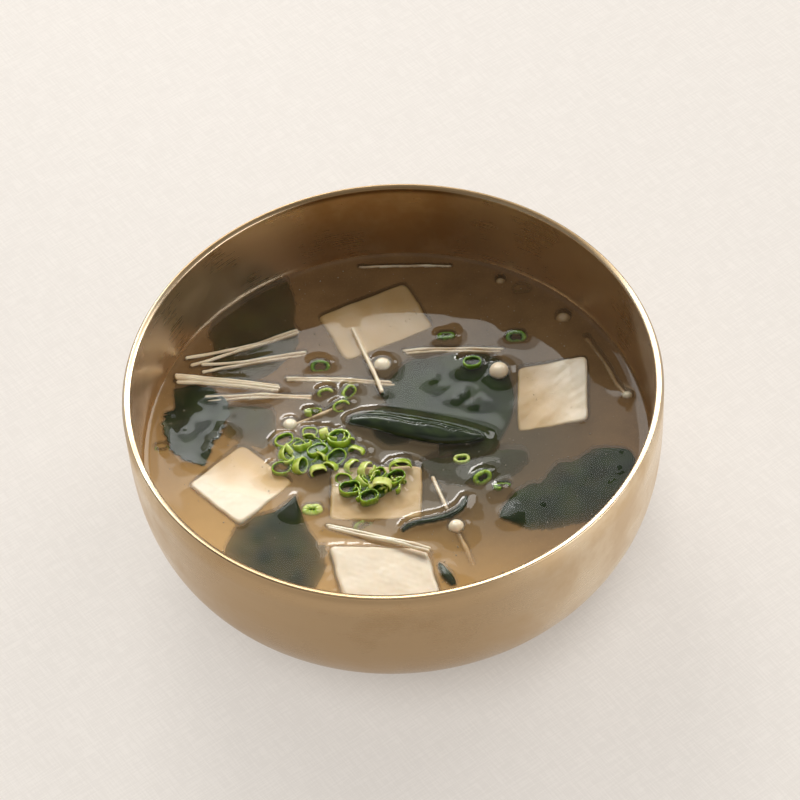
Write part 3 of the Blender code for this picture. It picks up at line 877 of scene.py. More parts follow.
@dataclass
class LeafRoll:
    """A rolled or folded strip of leaf, along a path of (x, y, rise, half width, half height)."""

    name: str
    nodes: list
    path: list
    seed: int
    crease: float = 0.5
    pull: float = 1.3
    rows: int = 170
    around: int = 60

    def surface(self) -> Surface:
        """The roll's skin: an oval section along the path, wrinkled lengthwise and creased along its crown.

        The crease is a narrow bell across the section, crease deep, and the wrinkles are waves that are
        long along the path and short across it.
        """
        path = smooth_path(self.path, self.rows)
        length = path_length(path[:, :3])
        ends = round_ends(self.rows, length, 2.0)
        centre = np.column_stack([path[:, :2], LEVEL + path[:, 2]])
        points = tube(centre, path[:, 3] * ends, path[:, 4] * ends, self.around, 2.1)
        a = np.linspace(0, math.tau, self.around, endpoint=False)[None, :]
        t = np.linspace(0, length, self.rows)[:, None]
        crown = np.clip(np.sin(a), 0, 1)
        wander = 0.30 + 0.12 * waves(t, 0 * t, 12.0, self.seed)
        dip = np.exp(-((np.cos(a) - wander) / 0.13) ** 2)
        wrinkle = 0.05 * waves(t / 3, 2 * np.cos(a), 2.0, self.seed + 1) * path[:, 4:5] / 2
        near = np.exp(-((np.cos(a) - wander + 0.06) / 0.16) ** 2)
        wrinkle = wrinkle + 0.10 * near * waves(t, 4 * np.cos(a), 1.1, self.seed + 5)
        points[..., 2] += (wrinkle - self.crease * dip * path[:, 4:5] / 2.4) * crown * ends[:, None]
        tone = np.clip(0.5 + 0.4 * waves(t / 2, 4 * np.cos(a), 3.0, self.seed + 2), 0, 1)
        return outwards(grid_surface(points, wrap_columns=True, tone=tone))


@dataclass
class EnokiStems:
    """Enoki stems that lie together, each along its own path of (x, y, rise)."""

    name: str
    nodes: list
    stems: list
    seed: int
    radius: float = 0.48
    tone: float = 0.3
    sink: float = 0.62
    pull: float = 0.2
    rows: int = 90
    around: int = 14

    def surface(self) -> Surface:
        """Round tubes whose radius and path waver a little, with rounded ends."""
        made = []
        for k, stem in enumerate(self.stems):
            path = smooth_path(stem, self.rows)
            length = path_length(path)
            t = np.linspace(0, length, self.rows)
            seed = self.seed + 7 * k
            path = path + np.column_stack([0 * t, 0.07 * waves(t, 0 * t, 14.0, seed),
                                           0.10 * waves(t, 0 * t, 11.0, seed + 1)])
            path[:, 2] += LEVEL - self.sink
            ends = round_ends(self.rows, length, self.radius)
            thick = self.radius * (1 + 0.08 * waves(t, 0 * t, 6.0, seed + 2)) * np.maximum(ends, 1e-3)
            tone = np.clip(self.tone + 0.2 * waves(t, 0 * t, 9.0, seed + 3), 0, 1)[:, None]
            made.append(outwards(grid_surface(tube(path, thick, thick, self.around), wrap_columns=True, tone=tone)))
        return joined(made)


@dataclass
class EnokiCap:
    """A small round mushroom cap, with the height of its centre above the soup."""

    name: str
    nodes: list
    centre: tuple
    radius: float
    rise: float
    tilt: tuple = (0.0, 0.0)
    flatness: float = 0.85
    undercut: float = 0.25
    tone: float = 0.1
    pull: float = 0.6

    def surface(self) -> Surface:
        """A ball a little flatter than round, whose underside narrows, with a soft navel on its crown."""
        b = np.linspace(0, math.pi, 40)
        under = np.clip(-np.cos(b), 0, 1)
        r = self.radius * np.sin(b) * (1 - self.undercut * under)
        z = self.radius * self.flatness * np.cos(b) - 0.05 * self.radius * np.exp(-(b / 0.25) ** 2)
        points = lathe(np.column_stack([r, z]), 64)
        points[..., 0] *= 1 + 0.03 * np.sin(2 * np.linspace(0, math.tau, 64, endpoint=False))
        points = points @ turn_matrix(*self.tilt, 0.0).T + np.array([*self.centre, LEVEL + self.rise])
        # Painted shade: the tone rises on the underside, so it is browner there.
        tone = np.repeat((self.tone + 0.25 * under)[:, None], 64, axis=1)
        return outwards(grid_surface(points, wrap_columns=True, tone=tone))


@dataclass
class Slice:
    """One cut of onion green: a ring, or an opened piece of one where arc is below 1."""

    centre: tuple
    radius: float
    height: float
    rise: float
    lean: float = 0.0
    turn: float = 0.0
    tone: float = 0.5
    arc: float = 1.0
    oval: float = 0.18
    wall: float = 0.68

    def surface(self, seed: int) -> Surface:
        """The slice's skin, by the angle along its ring and the angle round its wall's section.

        The ring's radius is R * (1 + oval * cos(2 a) + a little waver). The wall's section is a
        superellipse, wall wide and height high. An opened piece is rounded off at its two ends.
        """
        whole = self.arc > 0.99
        count = max(int(64 * self.arc), 18)
        a = np.linspace(0, math.tau * self.arc, count, endpoint=not whole)
        b = np.linspace(0, math.tau, 20, endpoint=False)
        waver = 1 + self.oval * np.cos(2 * a) + 0.04 * waves(3 * a, 0 * a, 6.0, seed)
        thin = np.ones(count) if whole else round_ends(count, self.radius * math.tau * self.arc, self.wall / 2)
        c, s = (np.sign(f(b)) * np.abs(f(b)) ** 0.7 for f in (np.cos, np.sin))
        radius = self.radius * waver[:, None] - self.wall / 2 + self.wall / 2 * c[None, :] * thin[:, None]
        rough = 0.05 * waves(6 * a[:, None], 2 * s[None, :], 3.0, seed + 1)
        z = self.height / 2 * s[None, :] * np.maximum(thin[:, None], 0.9) + rough
        points = np.stack([radius * np.cos(a)[:, None], radius * np.sin(a)[:, None], z], axis=-1)
        points = points @ turn_matrix(self.lean, 0.0, self.turn).T
        points += np.array([*self.centre, LEVEL + self.rise + self.height / 2 - 1.2])
        # Painted shade: the tone rises on the wall's inner face, in the ring's hollow, and falls a little on its outer
        # face and its top.
        face = self.tone - 0.12 * np.clip(c[None, :], 0, 1) + 0.35 * np.clip(-c[None, :], 0, 1) - 0.22 * np.clip(s[None, :], 0, 1) ** 2
        tone = np.clip(face + 0.08 * waves(4 * a[:, None], s[None, :], 4.0, seed + 2), 0, 1)
        return outwards(grid_surface(points, wrap_rows=whole, wrap_columns=True, tone=tone))


@dataclass
class OnionSlices:
    """Slices of onion green that make one piece, over a low core where they lie in a heap."""

    name: str
    nodes: list
    slices: list
    seed: int
    core: tuple | None = None
    crumb_count: int = 20
    pull: float = 0.9

    def crumbs(self) -> list[Slice]:
        """Short opened pieces strewn over the core, with their places drawn at random inside its outline."""
        x, y, length, width, turn, _ = self.core
        rng = np.random.default_rng(self.seed)
        made = []
        for _ in range(self.crumb_count):
            angle, far = rng.uniform(0, math.tau), math.sqrt(rng.uniform(0.02, 1.0))
            spot = turn_matrix(0, 0, turn) @ np.array([length * far * math.cos(angle), width * far * math.sin(angle), 0])
            made.append(Slice((x + spot[0], y + spot[1]), rng.uniform(1.4, 2.3), rng.uniform(1.4, 2.4),
                              rng.uniform(0.2, 1.1), rng.uniform(-60, 60), rng.uniform(0, 360),
                              rng.uniform(0.15, 0.75), rng.uniform(0.25, 0.55)))
        return made

    def core_surface(self) -> Surface:
        """The low core of a heap, from (x, y, half length, half width, turn, height): a lobed lens.

        Its edge stands at 1 - 0.08 * (1 + sin(5 a)) of the half sizes.
        """
        x, y, length, width, turn, height = self.core
        b = np.linspace(0, math.pi, 30)[:, None]
        a = np.linspace(0, math.tau, 80, endpoint=False)[None, :]
        lobe = (1 - 0.08 * (1 + np.sin(5 * a))) * np.sin(b)
        points = np.stack([length * lobe * np.cos(a), width * lobe * np.sin(a), height * np.cos(b) + 0 * a], axis=-1)
        points = points @ turn_matrix(0.0, 0.0, turn).T + np.array([x, y, LEVEL - 0.6])
        # The core stands for slices deeper in the heap; its dark tone is painted shade between the slices.
        return outwards(grid_surface(points, wrap_columns=True, tone=0.8))

    def surface(self) -> Surface:
        """All the slices, and the core if there is one."""
        cuts = self.slices + (self.crumbs() if self.core else [])
        made = [cut.surface(self.seed + 11 * k) for k, cut in enumerate(cuts)]
        if self.core:
            made.append(self.core_surface())
        return joined(made)


# --------------------------------------------------------------------------------------------------------
# The soup
# --------------------------------------------------------------------------------------------------------


@dataclass
class DepthMap:
    """Square cells over the soup that hold how high the things in it reach, and how the skin lies on them."""

    half: float = 70.0
    cell: float = 0.4
    empty: float = -20.0
    samples: int = 5

    def __post_init__(self) -> None:
        """Start with nothing in the soup."""
        self.count = int(2 * self.half / self.cell)
        self.top = np.full((self.count, self.count), self.empty)
        self.pull = np.zeros((self.count, self.count))

    def cells(self, x: Array, y: Array) -> tuple[Array, Array]:
        """The cell numbers of some places."""
        return tuple(np.clip(((v + self.half) / self.cell).astype(int), 0, self.count - 1) for v in (x, y))

    def drop_in(self, surface: Surface, pull: float) -> None:
        """Note the highest point of a surface over each cell, as heights above the soup's level.

        Args:
            surface: What lies in the soup.
            pull: How far up the soup's skin is drawn by what stands out, in millimetres.
        """
        a, b, c, d = (surface.points[surface.faces[:, k]] for k in range(4))
        share = (np.arange(self.samples) + 0.5) / self.samples
        u, v = (w.reshape(-1, 1, 1) for w in np.meshgrid(share, share))
        points = (a * (1 - u) * (1 - v) + b * u * (1 - v) + c * u * v + d * (1 - u) * v).reshape(-1, 3)
        places, heights = self.cells(points[:, 0], points[:, 1]), points[:, 2] - LEVEL
        np.maximum.at(self.top, places, heights)
        np.maximum.at(self.pull, places, np.clip(heights, 0, pull))

    def spread(self, values: Array, passes: int, fall: float, scale: float = 1.0) -> Array:
        """Let each cell's value spread to its neighbours, losing height with distance.

        Args:
            values: The cells' values.
            passes: How many cells far it may spread.
            fall: Lost for each millimetre, by subtraction.
            scale: What is left after each millimetre, by multiplication.

        Returns:
            The highest that reaches each cell.
        """
        steps = [(i, j) for i in range(-2, 3) for j in range(-2, 3)
                 if (i, j) != (0, 0) and math.gcd(i, j) == 1]
        for _ in range(passes):
            best = values
            for i, j in steps:
                far = self.cell * math.hypot(i, j)
                best = np.maximum(best, np.roll(values, (i, j), (0, 1)) * scale**far - fall * far)
            values = best
        return values

    def soften(self, values: Array, passes: int) -> Array:
        """Blur the cells by averaging each with its four neighbours."""
        for _ in range(passes):
            around = sum(np.roll(values, step, (0, 1)) for step in ((1, 0), (-1, 0), (0, 1), (0, -1)))
            values = (values * 2 + around) / 6
        return values

    def read(self, values: Array, x: Array, y: Array) -> Array:
        """Read the cells at some places, blending the four nearest."""
        u, v = ((p + self.half) / self.cell - 0.5 for p in (x, y))
        i, j = (np.clip(np.floor(p).astype(int), 0, self.count - 2) for p in (u, v))
        fu, fv = np.clip(u - i, 0, 1), np.clip(v - j, 0, 1)
        return (values[i, j] * (1 - fu) * (1 - fv) + values[i + 1, j] * fu * (1 - fv)
                + values[i, j + 1] * (1 - fu) * fv + values[i + 1, j + 1] * fu * fv)


@dataclass
class Soup:
    """The broth: a skin that climbs a little on the wall and on what floats, over a cloudy body."""

    finish: BrothFinish
    bowl: Bowl
    wall_climb: float = 1.0
    reach: float = 1.5
    into_wall: float = 0.12
    clearness: float = 2.1
    body_drop: float = 2.6
    across: int = 296
    speck_count: int = 700
    side_slope: float = 9.0

    def settle(self, depths: DepthMap) -> None:
        """Work out, from the map of what is in the soup, how far the skin is drawn up and what it covers.

        Next to what stands out of the soup the skin is drawn up, and dies away as exp(-distance / reach).
        """
        lead = math.exp(-1 / self.reach)
        self.depths = depths
        self.raised = depths.soften(depths.spread(depths.spread(depths.pull, 1, 0.0), 14, 0.0, lead), 2)
        self.cover = depths.spread(depths.top, 3, self.side_slope)
        self.radius = self.bowl.inner_radius(LEVEL + self.wall_climb) + self.into_wall

    def height(self, x: Array, y: Array) -> Array:
        """The skin's height above the soup's level: slow waves, and its climb on the wall and on what floats."""
        wall = self.wall_climb * np.exp(-(self.radius - np.hypot(x, y)) / self.reach)
        slow = 0.016 * waves(x, y, 30.0, 3) + 0.002 * waves(x, y, 7.0, 4)
        return slow + np.maximum(self.depths.read(self.raised, x, y), wall)

    def skin_points(self) -> tuple[Array, Array]:
        """The skin on a square grid bent into a disc, and how solid its veil is at each point.

        For u and v from -1 to 1, x = R u sqrt(1 - v * v / 2) and y = R v sqrt(1 - u * u / 2). The veil is
        1 - exp(-depth / clearness), where depth is from the soup's level down to the nearest thing below.

        Returns:
            The points, and the veil.
        """
        u, v = np.meshgrid(np.linspace(-1, 1, self.across), np.linspace(-1, 1, self.across), indexing="ij")
        x, y = self.radius * u * np.sqrt(1 - v * v / 2), self.radius * v * np.sqrt(1 - u * u / 2)
        depth = np.clip(-self.depths.read(self.cover, x, y), 0, None)
        veil = np.clip(1 - np.exp(-depth / self.clearness), 0.02, 1.0)
        return np.stack([x, y, LEVEL + self.height(x, y)], axis=-1), veil

    def build_surface(self) -> bpy.types.Object:
        """Make the skin; it casts no shadow, as cloudy broth is lit all through."""
        points, veil = self.skin_points()
        surface = grid_surface(points.transpose(1, 0, 2), tone=veil.T)
        piece = make_piece("soup_surface", surface, self.finish.build_surface())
        piece.visible_shadow = False
        return seat(piece, [])

    def build_specks(self) -> bpy.types.Object:
        """Make the fine specks that float on the skin: small half sunk balls, at random places."""
        rng = np.random.default_rng(77)
        far, angle = 66.0 * np.sqrt(rng.uniform(0, 1, self.speck_count)), rng.uniform(0, math.tau, self.speck_count)
        x, y = far * np.cos(angle), far * np.sin(angle)
        free = self.depths.read(self.depths.top, x, y) < 0.05
        x, y = x[free], y[free]
        size = 0.07 + 0.14 * rng.uniform(0, 1, len(x)) ** 4
        b = np.linspace(0, math.pi, 7)
        ball = lathe(np.column_stack([np.sin(b), np.cos(b)]), 8)
        places = np.stack([x, y, LEVEL + self.height(x, y)], axis=-1)
        balls = [outwards(grid_surface(place + ball * radius, wrap_columns=True)) for place, radius in zip(places, size)]
        return seat(make_piece("soup_specks", joined(balls), self.finish.build_specks()), [])

    def build_body(self) -> bpy.types.Object:
        """Make the body below the skin, in place of the soup's solid: a turned solid with a flat top."""
        top = LEVEL - self.body_drop
        wall = self.bowl.wall(self.bowl.lip_inner + self.into_wall, self.bowl.inner_depth + self.into_wall,
                              self.bowl.inner_squareness, None, 60, top=top)
        lid = np.column_stack([np.linspace(0, wall[0, 0], 40)[:-1], np.full(39, top)])
        surface = outwards(grid_surface(lathe(np.vstack([lid, wall]), 160), wrap_columns=True))
        return seat(make_piece("soup_body", surface, self.finish.build_body()), ["soup"])


# --------------------------------------------------------------------------------------------------------
# The recipe: what lies where
# --------------------------------------------------------------------------------------------------------


def tofu_blocks() -> list[TofuBlock]:
    """The five cut blocks."""
    return [
        TofuBlock("tofu_back", (-3.2, 44.6), 27.2, 19.0, 21.7, 0.0, -0.55, (0.3, 0.0), 11),
        TofuBlock("tofu_right", (43.6, 13.5), 19.6, 22.6, 5.5, 0.18, -0.3, (0.0, -3.6), 23),
        TofuBlock("tofu_left", (-42.8, -9.4), 20.4, 20.4, 42.0, 0.0, -0.2, (-1.6, 4.2), 37),
        TofuBlock("tofu_middle", (-6.6, -16.0), 24.6, 18.2, -4.0, 0.0, -0.5, (0.5, 0.0), 41),
        TofuBlock("tofu_front", (-5.6, -43.6), 25.6, 17.0, -5.5, -0.28, 0.9, (-1.2, 2.4), 53, 0.22, 0.5),
    ]


def sea_leaves() -> list[LeafSheet | LeafRoll]:
    """The sheets, the roll and the strip of wakame, and the ones that lie below the skin."""
    return [
        LeafSheet("wakame_centre_leaf", ["wakame_centre"],
                  [(-14.0, 9.6, 1.0, -0.5), (-6.0, 9.4, 4.6, -0.3), (0.0, 8.0, 8.8, -0.2), (6.0, 11.6, 14.2, -0.12),
                   (11.0, 13.2, 17.0, -0.06), (20.0, 12.2, 18.4, -0.05), (27.0, 11.8, 17.4, -0.08),
                   (32.8, 11.0, 14.0, -0.15)], 101, ripple=0.03, lobes=0.06, curl=-0.5,
                  bumps=[(11.3, 21.9, 0.45, 0.5), (12.6, 20.6, 0.4, 0.4), (13.7, 19.5, 0.55, 0.45), (14.9, 18.7, 0.4, 0.4),
                         (16.9, 14.3, 0.55, 0.5), (18.0, 14.8, 0.45, 0.4), (19.4, 15.9, 0.5, 0.45),
                         (10.2, 24.6, 0.35, 0.5), (21.5, 12.2, 0.35, 0.5)]),
        LeafSheet("wakame_left_leaf", ["wakame_left"],
                  [(-60.2, 25.5, 1.5, -0.3), (-54.8, 20.0, 7.2, 0.0), (-54.5, 12.0, 9.0, 0.1),
                   (-55.5, 5.0, 6.4, 0.1), (-52.6, -2.5, 1.4, 0.1)], 131, ripple=0.08, lobes=0.06, curl=0.35,
                  fray=0.05, bumps=[(-46.6, 10.0, 0.6, 0.7), (-47.7, 7.9, 0.5, 0.5), (-49.2, 5.4, 0.7, 0.7),
                                    (-50.6, 2.8, 0.5, 0.6)]),
        LeafSheet("wakame_front_leaf", ["wakame_front"],
                  [(-28.3, -15.5, 1.0, 0.8), (-30.5, -21.0, 4.6, 0.15), (-33.0, -26.5, 10.4, -0.1),
                   (-34.5, -31.5, 14.0, -0.12), (-33.5, -37.5, 13.4, -0.15), (-31.0, -43.5, 11.0, -0.2),
                   (-28.0, -50.0, 8.0, -0.3)], 151, ripple=0.08, lobes=0.06, curl=-0.9),
        LeafSheet("wakame_right_leaf", ["wakame_right"],
                  [(25.8, -27.6, 2.6, 0.25), (33.0, -25.4, 6.8, 0.0), (41.0, -23.6, 9.4, -0.1),
                   (49.0, -20.0, 10.6, -0.1), (56.0, -14.4, 9.0, -0.05), (62.6, -8.4, 5.0, 0.1)],
                  171, ripple=0.08, lobes=0.06, curl=-0.7),
        LeafRoll("wakame_roll_fold", ["wakame_roll"],
                 [(-13.0, 8.6, 0.3, 1.6, 1.2), (-6.0, 7.8, 0.8, 2.8, 1.8), (3.0, 4.6, 1.0, 3.6, 2.1),
                  (12.0, 1.6, 1.0, 3.6, 2.0), (19.0, 0.2, 0.7, 2.4, 1.6), (24.2, -0.4, 0.2, 0.9, 0.8)], 191),
        LeafRoll("wakame_strip_fold", ["wakame_strip"],
                 [(-0.6, -30.2, 0.2, 0.7, 0.6), (3.0, -28.2, 0.5, 1.0, 0.8), (11.0, -26.9, 0.6, 1.0, 0.9),
                  (15.4, -24.4, 0.5, 1.0, 0.8), (17.6, -20.0, 0.2, 0.6, 0.6)], 211),
        LeafSheet("wakame_back_sunk", [],
                  [(-49.5, 29.5, 3.0, -0.6), (-43.0, 34.0, 9.5, -0.6), (-39.8, 38.0, 12.0, -0.6),
                   (-37.2, 44.0, 12.4, -0.6), (-34.5, 50.0, 9.5, -0.7), (-31.2, 56.0, 6.4, -0.8),
                   (-27.5, 62.5, 2.0, -0.8)], 231, ripple=0.06, lobes=0.02, curl=-0.3),
        LeafSheet("wakame_left_sunk", [],
                  [(-45.5, 18.0, 3.0, -0.5), (-40.5, 12.0, 7.6, -0.5), (-37.5, 7.0, 5.6, -0.8),
                   (-36.0, 2.0, 2.0, -1.2)], 251, ripple=0.06, lobes=0.05, curl=-1.2),
        LeafSheet("wakame_middle_sunk", [],
                  [(6.0, -6.5, 2.6, -0.9), (16.0, -9.5, 6.4, -1.0), (27.0, -9.0, 6.4, -1.0),
                   (35.0, -5.5, 3.0, -1.2)], 261, ripple=0.1, lobes=0.1, curl=-1.0),
        LeafSheet("wakame_front_crumb", [],
                  [(8.6, -41.0, 0.8, 0.1), (10.6, -45.4, 1.6, 0.2), (12.3, -49.0, 0.9, 0.0)], 271,
                  ripple=0.2, rows=60, around=40),
    ]


def enoki() -> list[EnokiStems | EnokiCap]:
    """The mushroom stems and caps, with the ones that have sunk."""
    return [
        EnokiStems("enoki_back", ["stem_back"],
                   [[(-7.1, 65.3, 0.1), (6.0, 64.3, 0.3), (19.4, 63.0, 0.2)]], 301),
        EnokiStems("enoki_left_upper", ["stems_left_upper"],
                   [[(-57.0, 35.6, 1.2), (-40.2, 38.8, 0.4), (-25.1, 43.8, 0.1)],
                    [(-55.6, 33.0, 1.0), (-44.4, 36.6, 0.5), (-38.0, 38.6, 0.4), (-24.6, 42.9, 0.0)]], 311),
        EnokiStems("enoki_left_back", ["stems_left_back"],
                   [[(-52.6, 33.0, 1.0), (-41.7, 33.3, 0.4), (-23.0, 35.4, 0.1)],
                    [(-52.4, 30.4, 0.9), (-41.8, 32.2, 0.3), (-23.0, 34.4, 0.0)]], 331),
        EnokiStems("enoki_left_middle", ["stems_left_middle"],
                   [[(-60.0, 29.6, 1.5), (-47.5, 27.3, 0.7), (-31.0, 23.6, 0.25)],
                    [(-59.8, 28.5, 1.7), (-47.5, 26.4, 0.9), (-30.8, 22.8, 0.25)],
                    [(-59.6, 27.4, 1.3), (-47.5, 25.5, 0.7), (-31.2, 22.1, 0.15)]], 351, radius=0.58),
        EnokiStems("enoki_left_front", ["stems_left_front"],
                   [[(-52.0, 21.8, 0.4), (-36.5, 21.0, 0.3), (-22.2, 19.2, 0.1)],
                    [(-51.4, 20.1, 0.3), (-36.6, 20.0, 0.3), (-22.4, 18.3, 0.0)]], 371),
        EnokiStems("enoki_centre", ["stems_centre"],
                   [[(-29.4, 26.4, 0.3), (-17.0, 24.9, 0.2), (0.0, 22.0, 0.0)],
                    [(-29.2, 25.4, 0.2), (-17.0, 24.0, 0.1), (1.0, 21.0, -0.1)]], 391),
        EnokiStems("enoki_over_tofu", ["stem_over_tofu"],
                   [[(-10.0, 42.4, 0.6), (-7.4, 33.6, 0.7), (-4.2, 22.6, 1.3), (-3.0, 17.6, 1.2)]], 411,
                   radius=0.62, sink=0.2),
        EnokiStems("enoki_right", ["stems_right"],
                   [[(3.4, 33.0, 0.1), (14.0, 32.8, 0.2), (31.8, 30.8, 0.1)],
                    [(4.2, 32.0, 0.0), (14.0, 31.8, 0.1), (31.0, 29.9, 0.0)]], 421),
        EnokiStems("enoki_middle", ["stem_middle"],
                   [[(8.8, -11.6, 0.0), (10.8, -19.0, 0.1), (12.2, -23.8, 0.0)]], 441, tone=0.15, radius=0.6),
        EnokiStems("enoki_front", ["stems_front"],
                   [[(-20.6, -26.0, 0.5), (-7.0, -31.7, 1.4), (0.0, -34.9, 2.3), (6.8, -38.0, 2.6)],
                    [(-20.2, -26.8, 0.45), (-6.9, -32.5, 1.35), (0.0, -35.7, 2.25), (6.4, -38.8, 2.55)]], 451,
                   tone=0.05, radius=0.56, sink=0.4),
        EnokiStems("enoki_sunk", [],
                   [[(54.6, 34.0, -1.5), (59.1, 23.7, -1.3), (61.6, 15.6, -1.0), (63.6, 11.6, -0.6)],
                    [(-28.0, 9.6, -0.3), (-19.8, 13.0, -0.4), (-13.3, 15.9, -0.5)],
                    [(14.0, -30.6, -0.3), (15.9, -36.1, -0.7), (17.8, -42.9, -1.6)]], 471, radius=0.75),
        EnokiCap("enoki_cap_centre", ["cap_centre"], (-2.4, 28.4), 2.4, -0.5),
        EnokiCap("enoki_cap_on_leaf", ["cap_on_leaf"], (29.6, 22.6), 2.7, 0.2, tone=0.35),
        EnokiCap("enoki_cap_left", ["cap_left"], (-28.8, 9.8), 2.1, -0.9),
        EnokiCap("enoki_cap_front", ["cap_front"], (14.0, -29.8), 2.1, 0.0),
        EnokiCap("enoki_cap_sunk_right", [], (49.1, 41.2), 2.3, -2.2),
        EnokiCap("enoki_cap_sunk_back", [], (32.7, 56.4), 1.5, -1.6),
        EnokiCap("enoki_cap_sunk_wall", [], (63.9, 11.0), 1.5, -0.8),
    ]


def onion_greens() -> list[OnionSlices]:
    """The two heaps of sliced onion green, the slices that float apart and the ones that have sunk."""
    left = [
        Slice((-15.6, 2.4), 3.1, 2.9, 0.4, -8.0, 0.0, 0.55, oval=0.10, wall=0.9),
        Slice((-21.6, -1.0), 2.6, 2.6, 0.3, -14.0, 20.0, 0.70),
        Slice((-11.0, -2.2), 2.0, 2.3, 0.4, 60.0, -30.0, 0.35, arc=0.55),
        Slice((-16.8, -3.6), 2.7, 2.6, 0.0, 20.0, 40.0, 0.62),
        Slice((-21.8, -8.0), 2.0, 2.9, 0.5, 65.0, 10.0, 0.30, arc=0.6),
        Slice((-26.6, -5.8), 2.3, 2.6, 0.5, 50.0, 70.0, 0.42),
        Slice((-31.6, -5.6), 2.4, 2.3, -0.2, 8.0, 0.0, 0.60),
        Slice((-30.6, 3.6), 2.4, 2.6, 0.0, 10.0, 30.0, 0.55),
        Slice((-30.4, -1.0), 2.2, 2.6, 0.1, 40.0, 80.0, 0.40),
        Slice((-25.6, 1.2), 2.3, 2.6, 0.2, -30.0, 15.0, 0.50),
        Slice((-23.4, 6.0), 2.0, 2.3, -0.2, 10.0, 0.0, 0.45),
        Slice((-19.4, 4.6), 1.7, 2.6, 0.6, 75.0, 100.0, 0.30, arc=0.5),
        Slice((-12.6, -6.6), 2.0, 2.3, 0.0, 60.0, 45.0, 0.25, arc=0.7),
        Slice((-18.4, -6.6), 1.9, 2.3, 0.2, 55.0, -40.0, 0.40, arc=0.6),
    ]
    front = [
        Slice((-13.4, -15.0), 2.6, 2.9, 0.3, 6.0, 0.0, 0.62),
        Slice((-8.6, -18.4), 2.4, 2.9, 0.4, 4.0, 20.0, 0.66),
        Slice((-4.9, -14.9), 2.4, 3.4, 0.6, 70.0, -10.0, 0.10, arc=0.6),
        Slice((-1.2, -12.6), 2.5, 3.1, 0.4, 10.0, 30.0, 0.68),
        Slice((0.6, -8.8), 2.8, 2.9, 0.3, 55.0, 0.0, 0.45, arc=0.8),
        Slice((-9.0, -8.8), 2.2, 2.6, 0.5, 60.0, 60.0, 0.18, arc=0.7),
        Slice((-5.8, -10.2), 2.1, 2.6, 0.2, 20.0, 10.0, 0.50),
        Slice((-15.0, -10.8), 2.1, 2.3, -0.1, 30.0, -20.0, 0.55),
        Slice((-10.2, -12.6), 2.0, 2.6, 0.0, 45.0, 120.0, 0.40, arc=0.7),
    ]
    apart = [
        Slice((-19.6, 29.6), 2.4, 2.0, -0.5, 24.0, 0.0, 0.85, wall=1.3),
        Slice((-18.6, 19.9), 2.0, 1.8, -0.3, 40.0, 0.0, 0.35, arc=0.6, wall=1.1),
        Slice((-12.2, 19.6), 2.2, 1.8, -0.3, 30.0, 50.0, 0.55, wall=1.0),
        Slice((-22.2, 13.8), 2.2, 1.8, -0.4, -35.0, 0.0, 0.35, arc=0.7, wall=1.2),
        Slice((-14.4, 14.6), 2.2, 1.8, -0.1, 28.0, 8.0, 0.45, arc=0.8, wall=0.9),
        Slice((16.0, 37.0), 2.3, 2.0, -0.5, -20.0, 0.0, 0.92, wall=1.6),
        Slice((35.4, 35.0), 2.5, 1.8, -0.5, 20.0, 0.0, 0.90, wall=1.6),
        Slice((22.4, 26.0), 2.3, 1.8, 0.9, 0.0, 0.0, 0.80, wall=0.8),
        Slice((17.2, -6.6), 2.0, 1.6, -0.4, 6.0, 0.0, 0.15, wall=1.1),
        Slice((22.2, -13.6), 2.4, 1.8, -0.4, 30.0, 30.0, 0.60, wall=1.5),
        Slice((27.4, -17.4), 2.1, 1.8, -0.4, -26.0, 0.0, 0.72, arc=0.7, wall=1.3),
        Slice((-24.0, -20.2), 2.4, 1.8, -0.4, 6.0, 0.0, 0.30, wall=2.3),
    ]
    sunk = [
        Slice((38.3, 52.5), 2.4, 1.6, -3.2, 10.0, 0.0, 0.8),
        Slice((-10.6, -25.9), 2.4, 1.4, -1.4, 20.0, 30.0, 0.75, oval=0.3, wall=1.6),
        Slice((1.2, -5.6), 2.0, 1.4, -1.6, 0.0, 0.0, 0.6),
        Slice((-64.0, 5.4), 1.8, 1.4, -1.2, 0.0, 0.0, 0.75),
    ]
    return [
        OnionSlices("onion_rings_left", ["onion_heap_left"], left, 501, (-21.4, -0.8, 10.4, 5.6, 14.0, 1.3)),
        OnionSlices("onion_rings_front", ["onion_heap_front"], front, 701, (-7.4, -13.6, 7.4, 4.6, 8.0, 1.1)),
        OnionSlices("onion_rings_apart", [f"onion_slice_{k}" for k in range(1, 13)], apart, 801),
        OnionSlices("onion_rings_sunk", [], sunk, 901),
    ]


# --------------------------------------------------------------------------------------------------------
# The studio
# --------------------------------------------------------------------------------------------------------


@dataclass
class SoftLight:
    """A rectangular light that faces the bowl; azimuth 0 is behind it and 90 is on its right."""

    name: str
    azimuth: float
    elevation: float
    distance: float
    width: float
    height: float
    radiance: float
    colour: tuple = (1.0, 1.0, 1.0)

    def build(self) -> None:
        """Add the light; its power is radiance * pi * area."""
        light = bpy.data.lights.new(self.name, "AREA")
        light.shape = "RECTANGLE"
        light.size, light.size_y = self.width, self.height
        light.energy = self.radiance * math.pi * self.width * self.height
        light.color = self.colour
        obj = bpy.data.objects.new(self.name, light)
        bpy.context.scene.collection.objects.link(obj)
        a, e = math.radians(self.azimuth), math.radians(self.elevation)
        aim = Vector((0.0, 0.0, LEVEL * MM))
        away = Vector((math.sin(a) * math.cos(e), math.cos(a) * math.cos(e), math.sin(e)))
        obj.location = aim + away * self.distance
        obj.rotation_euler = away.to_track_quat("Z", "Y").to_euler()


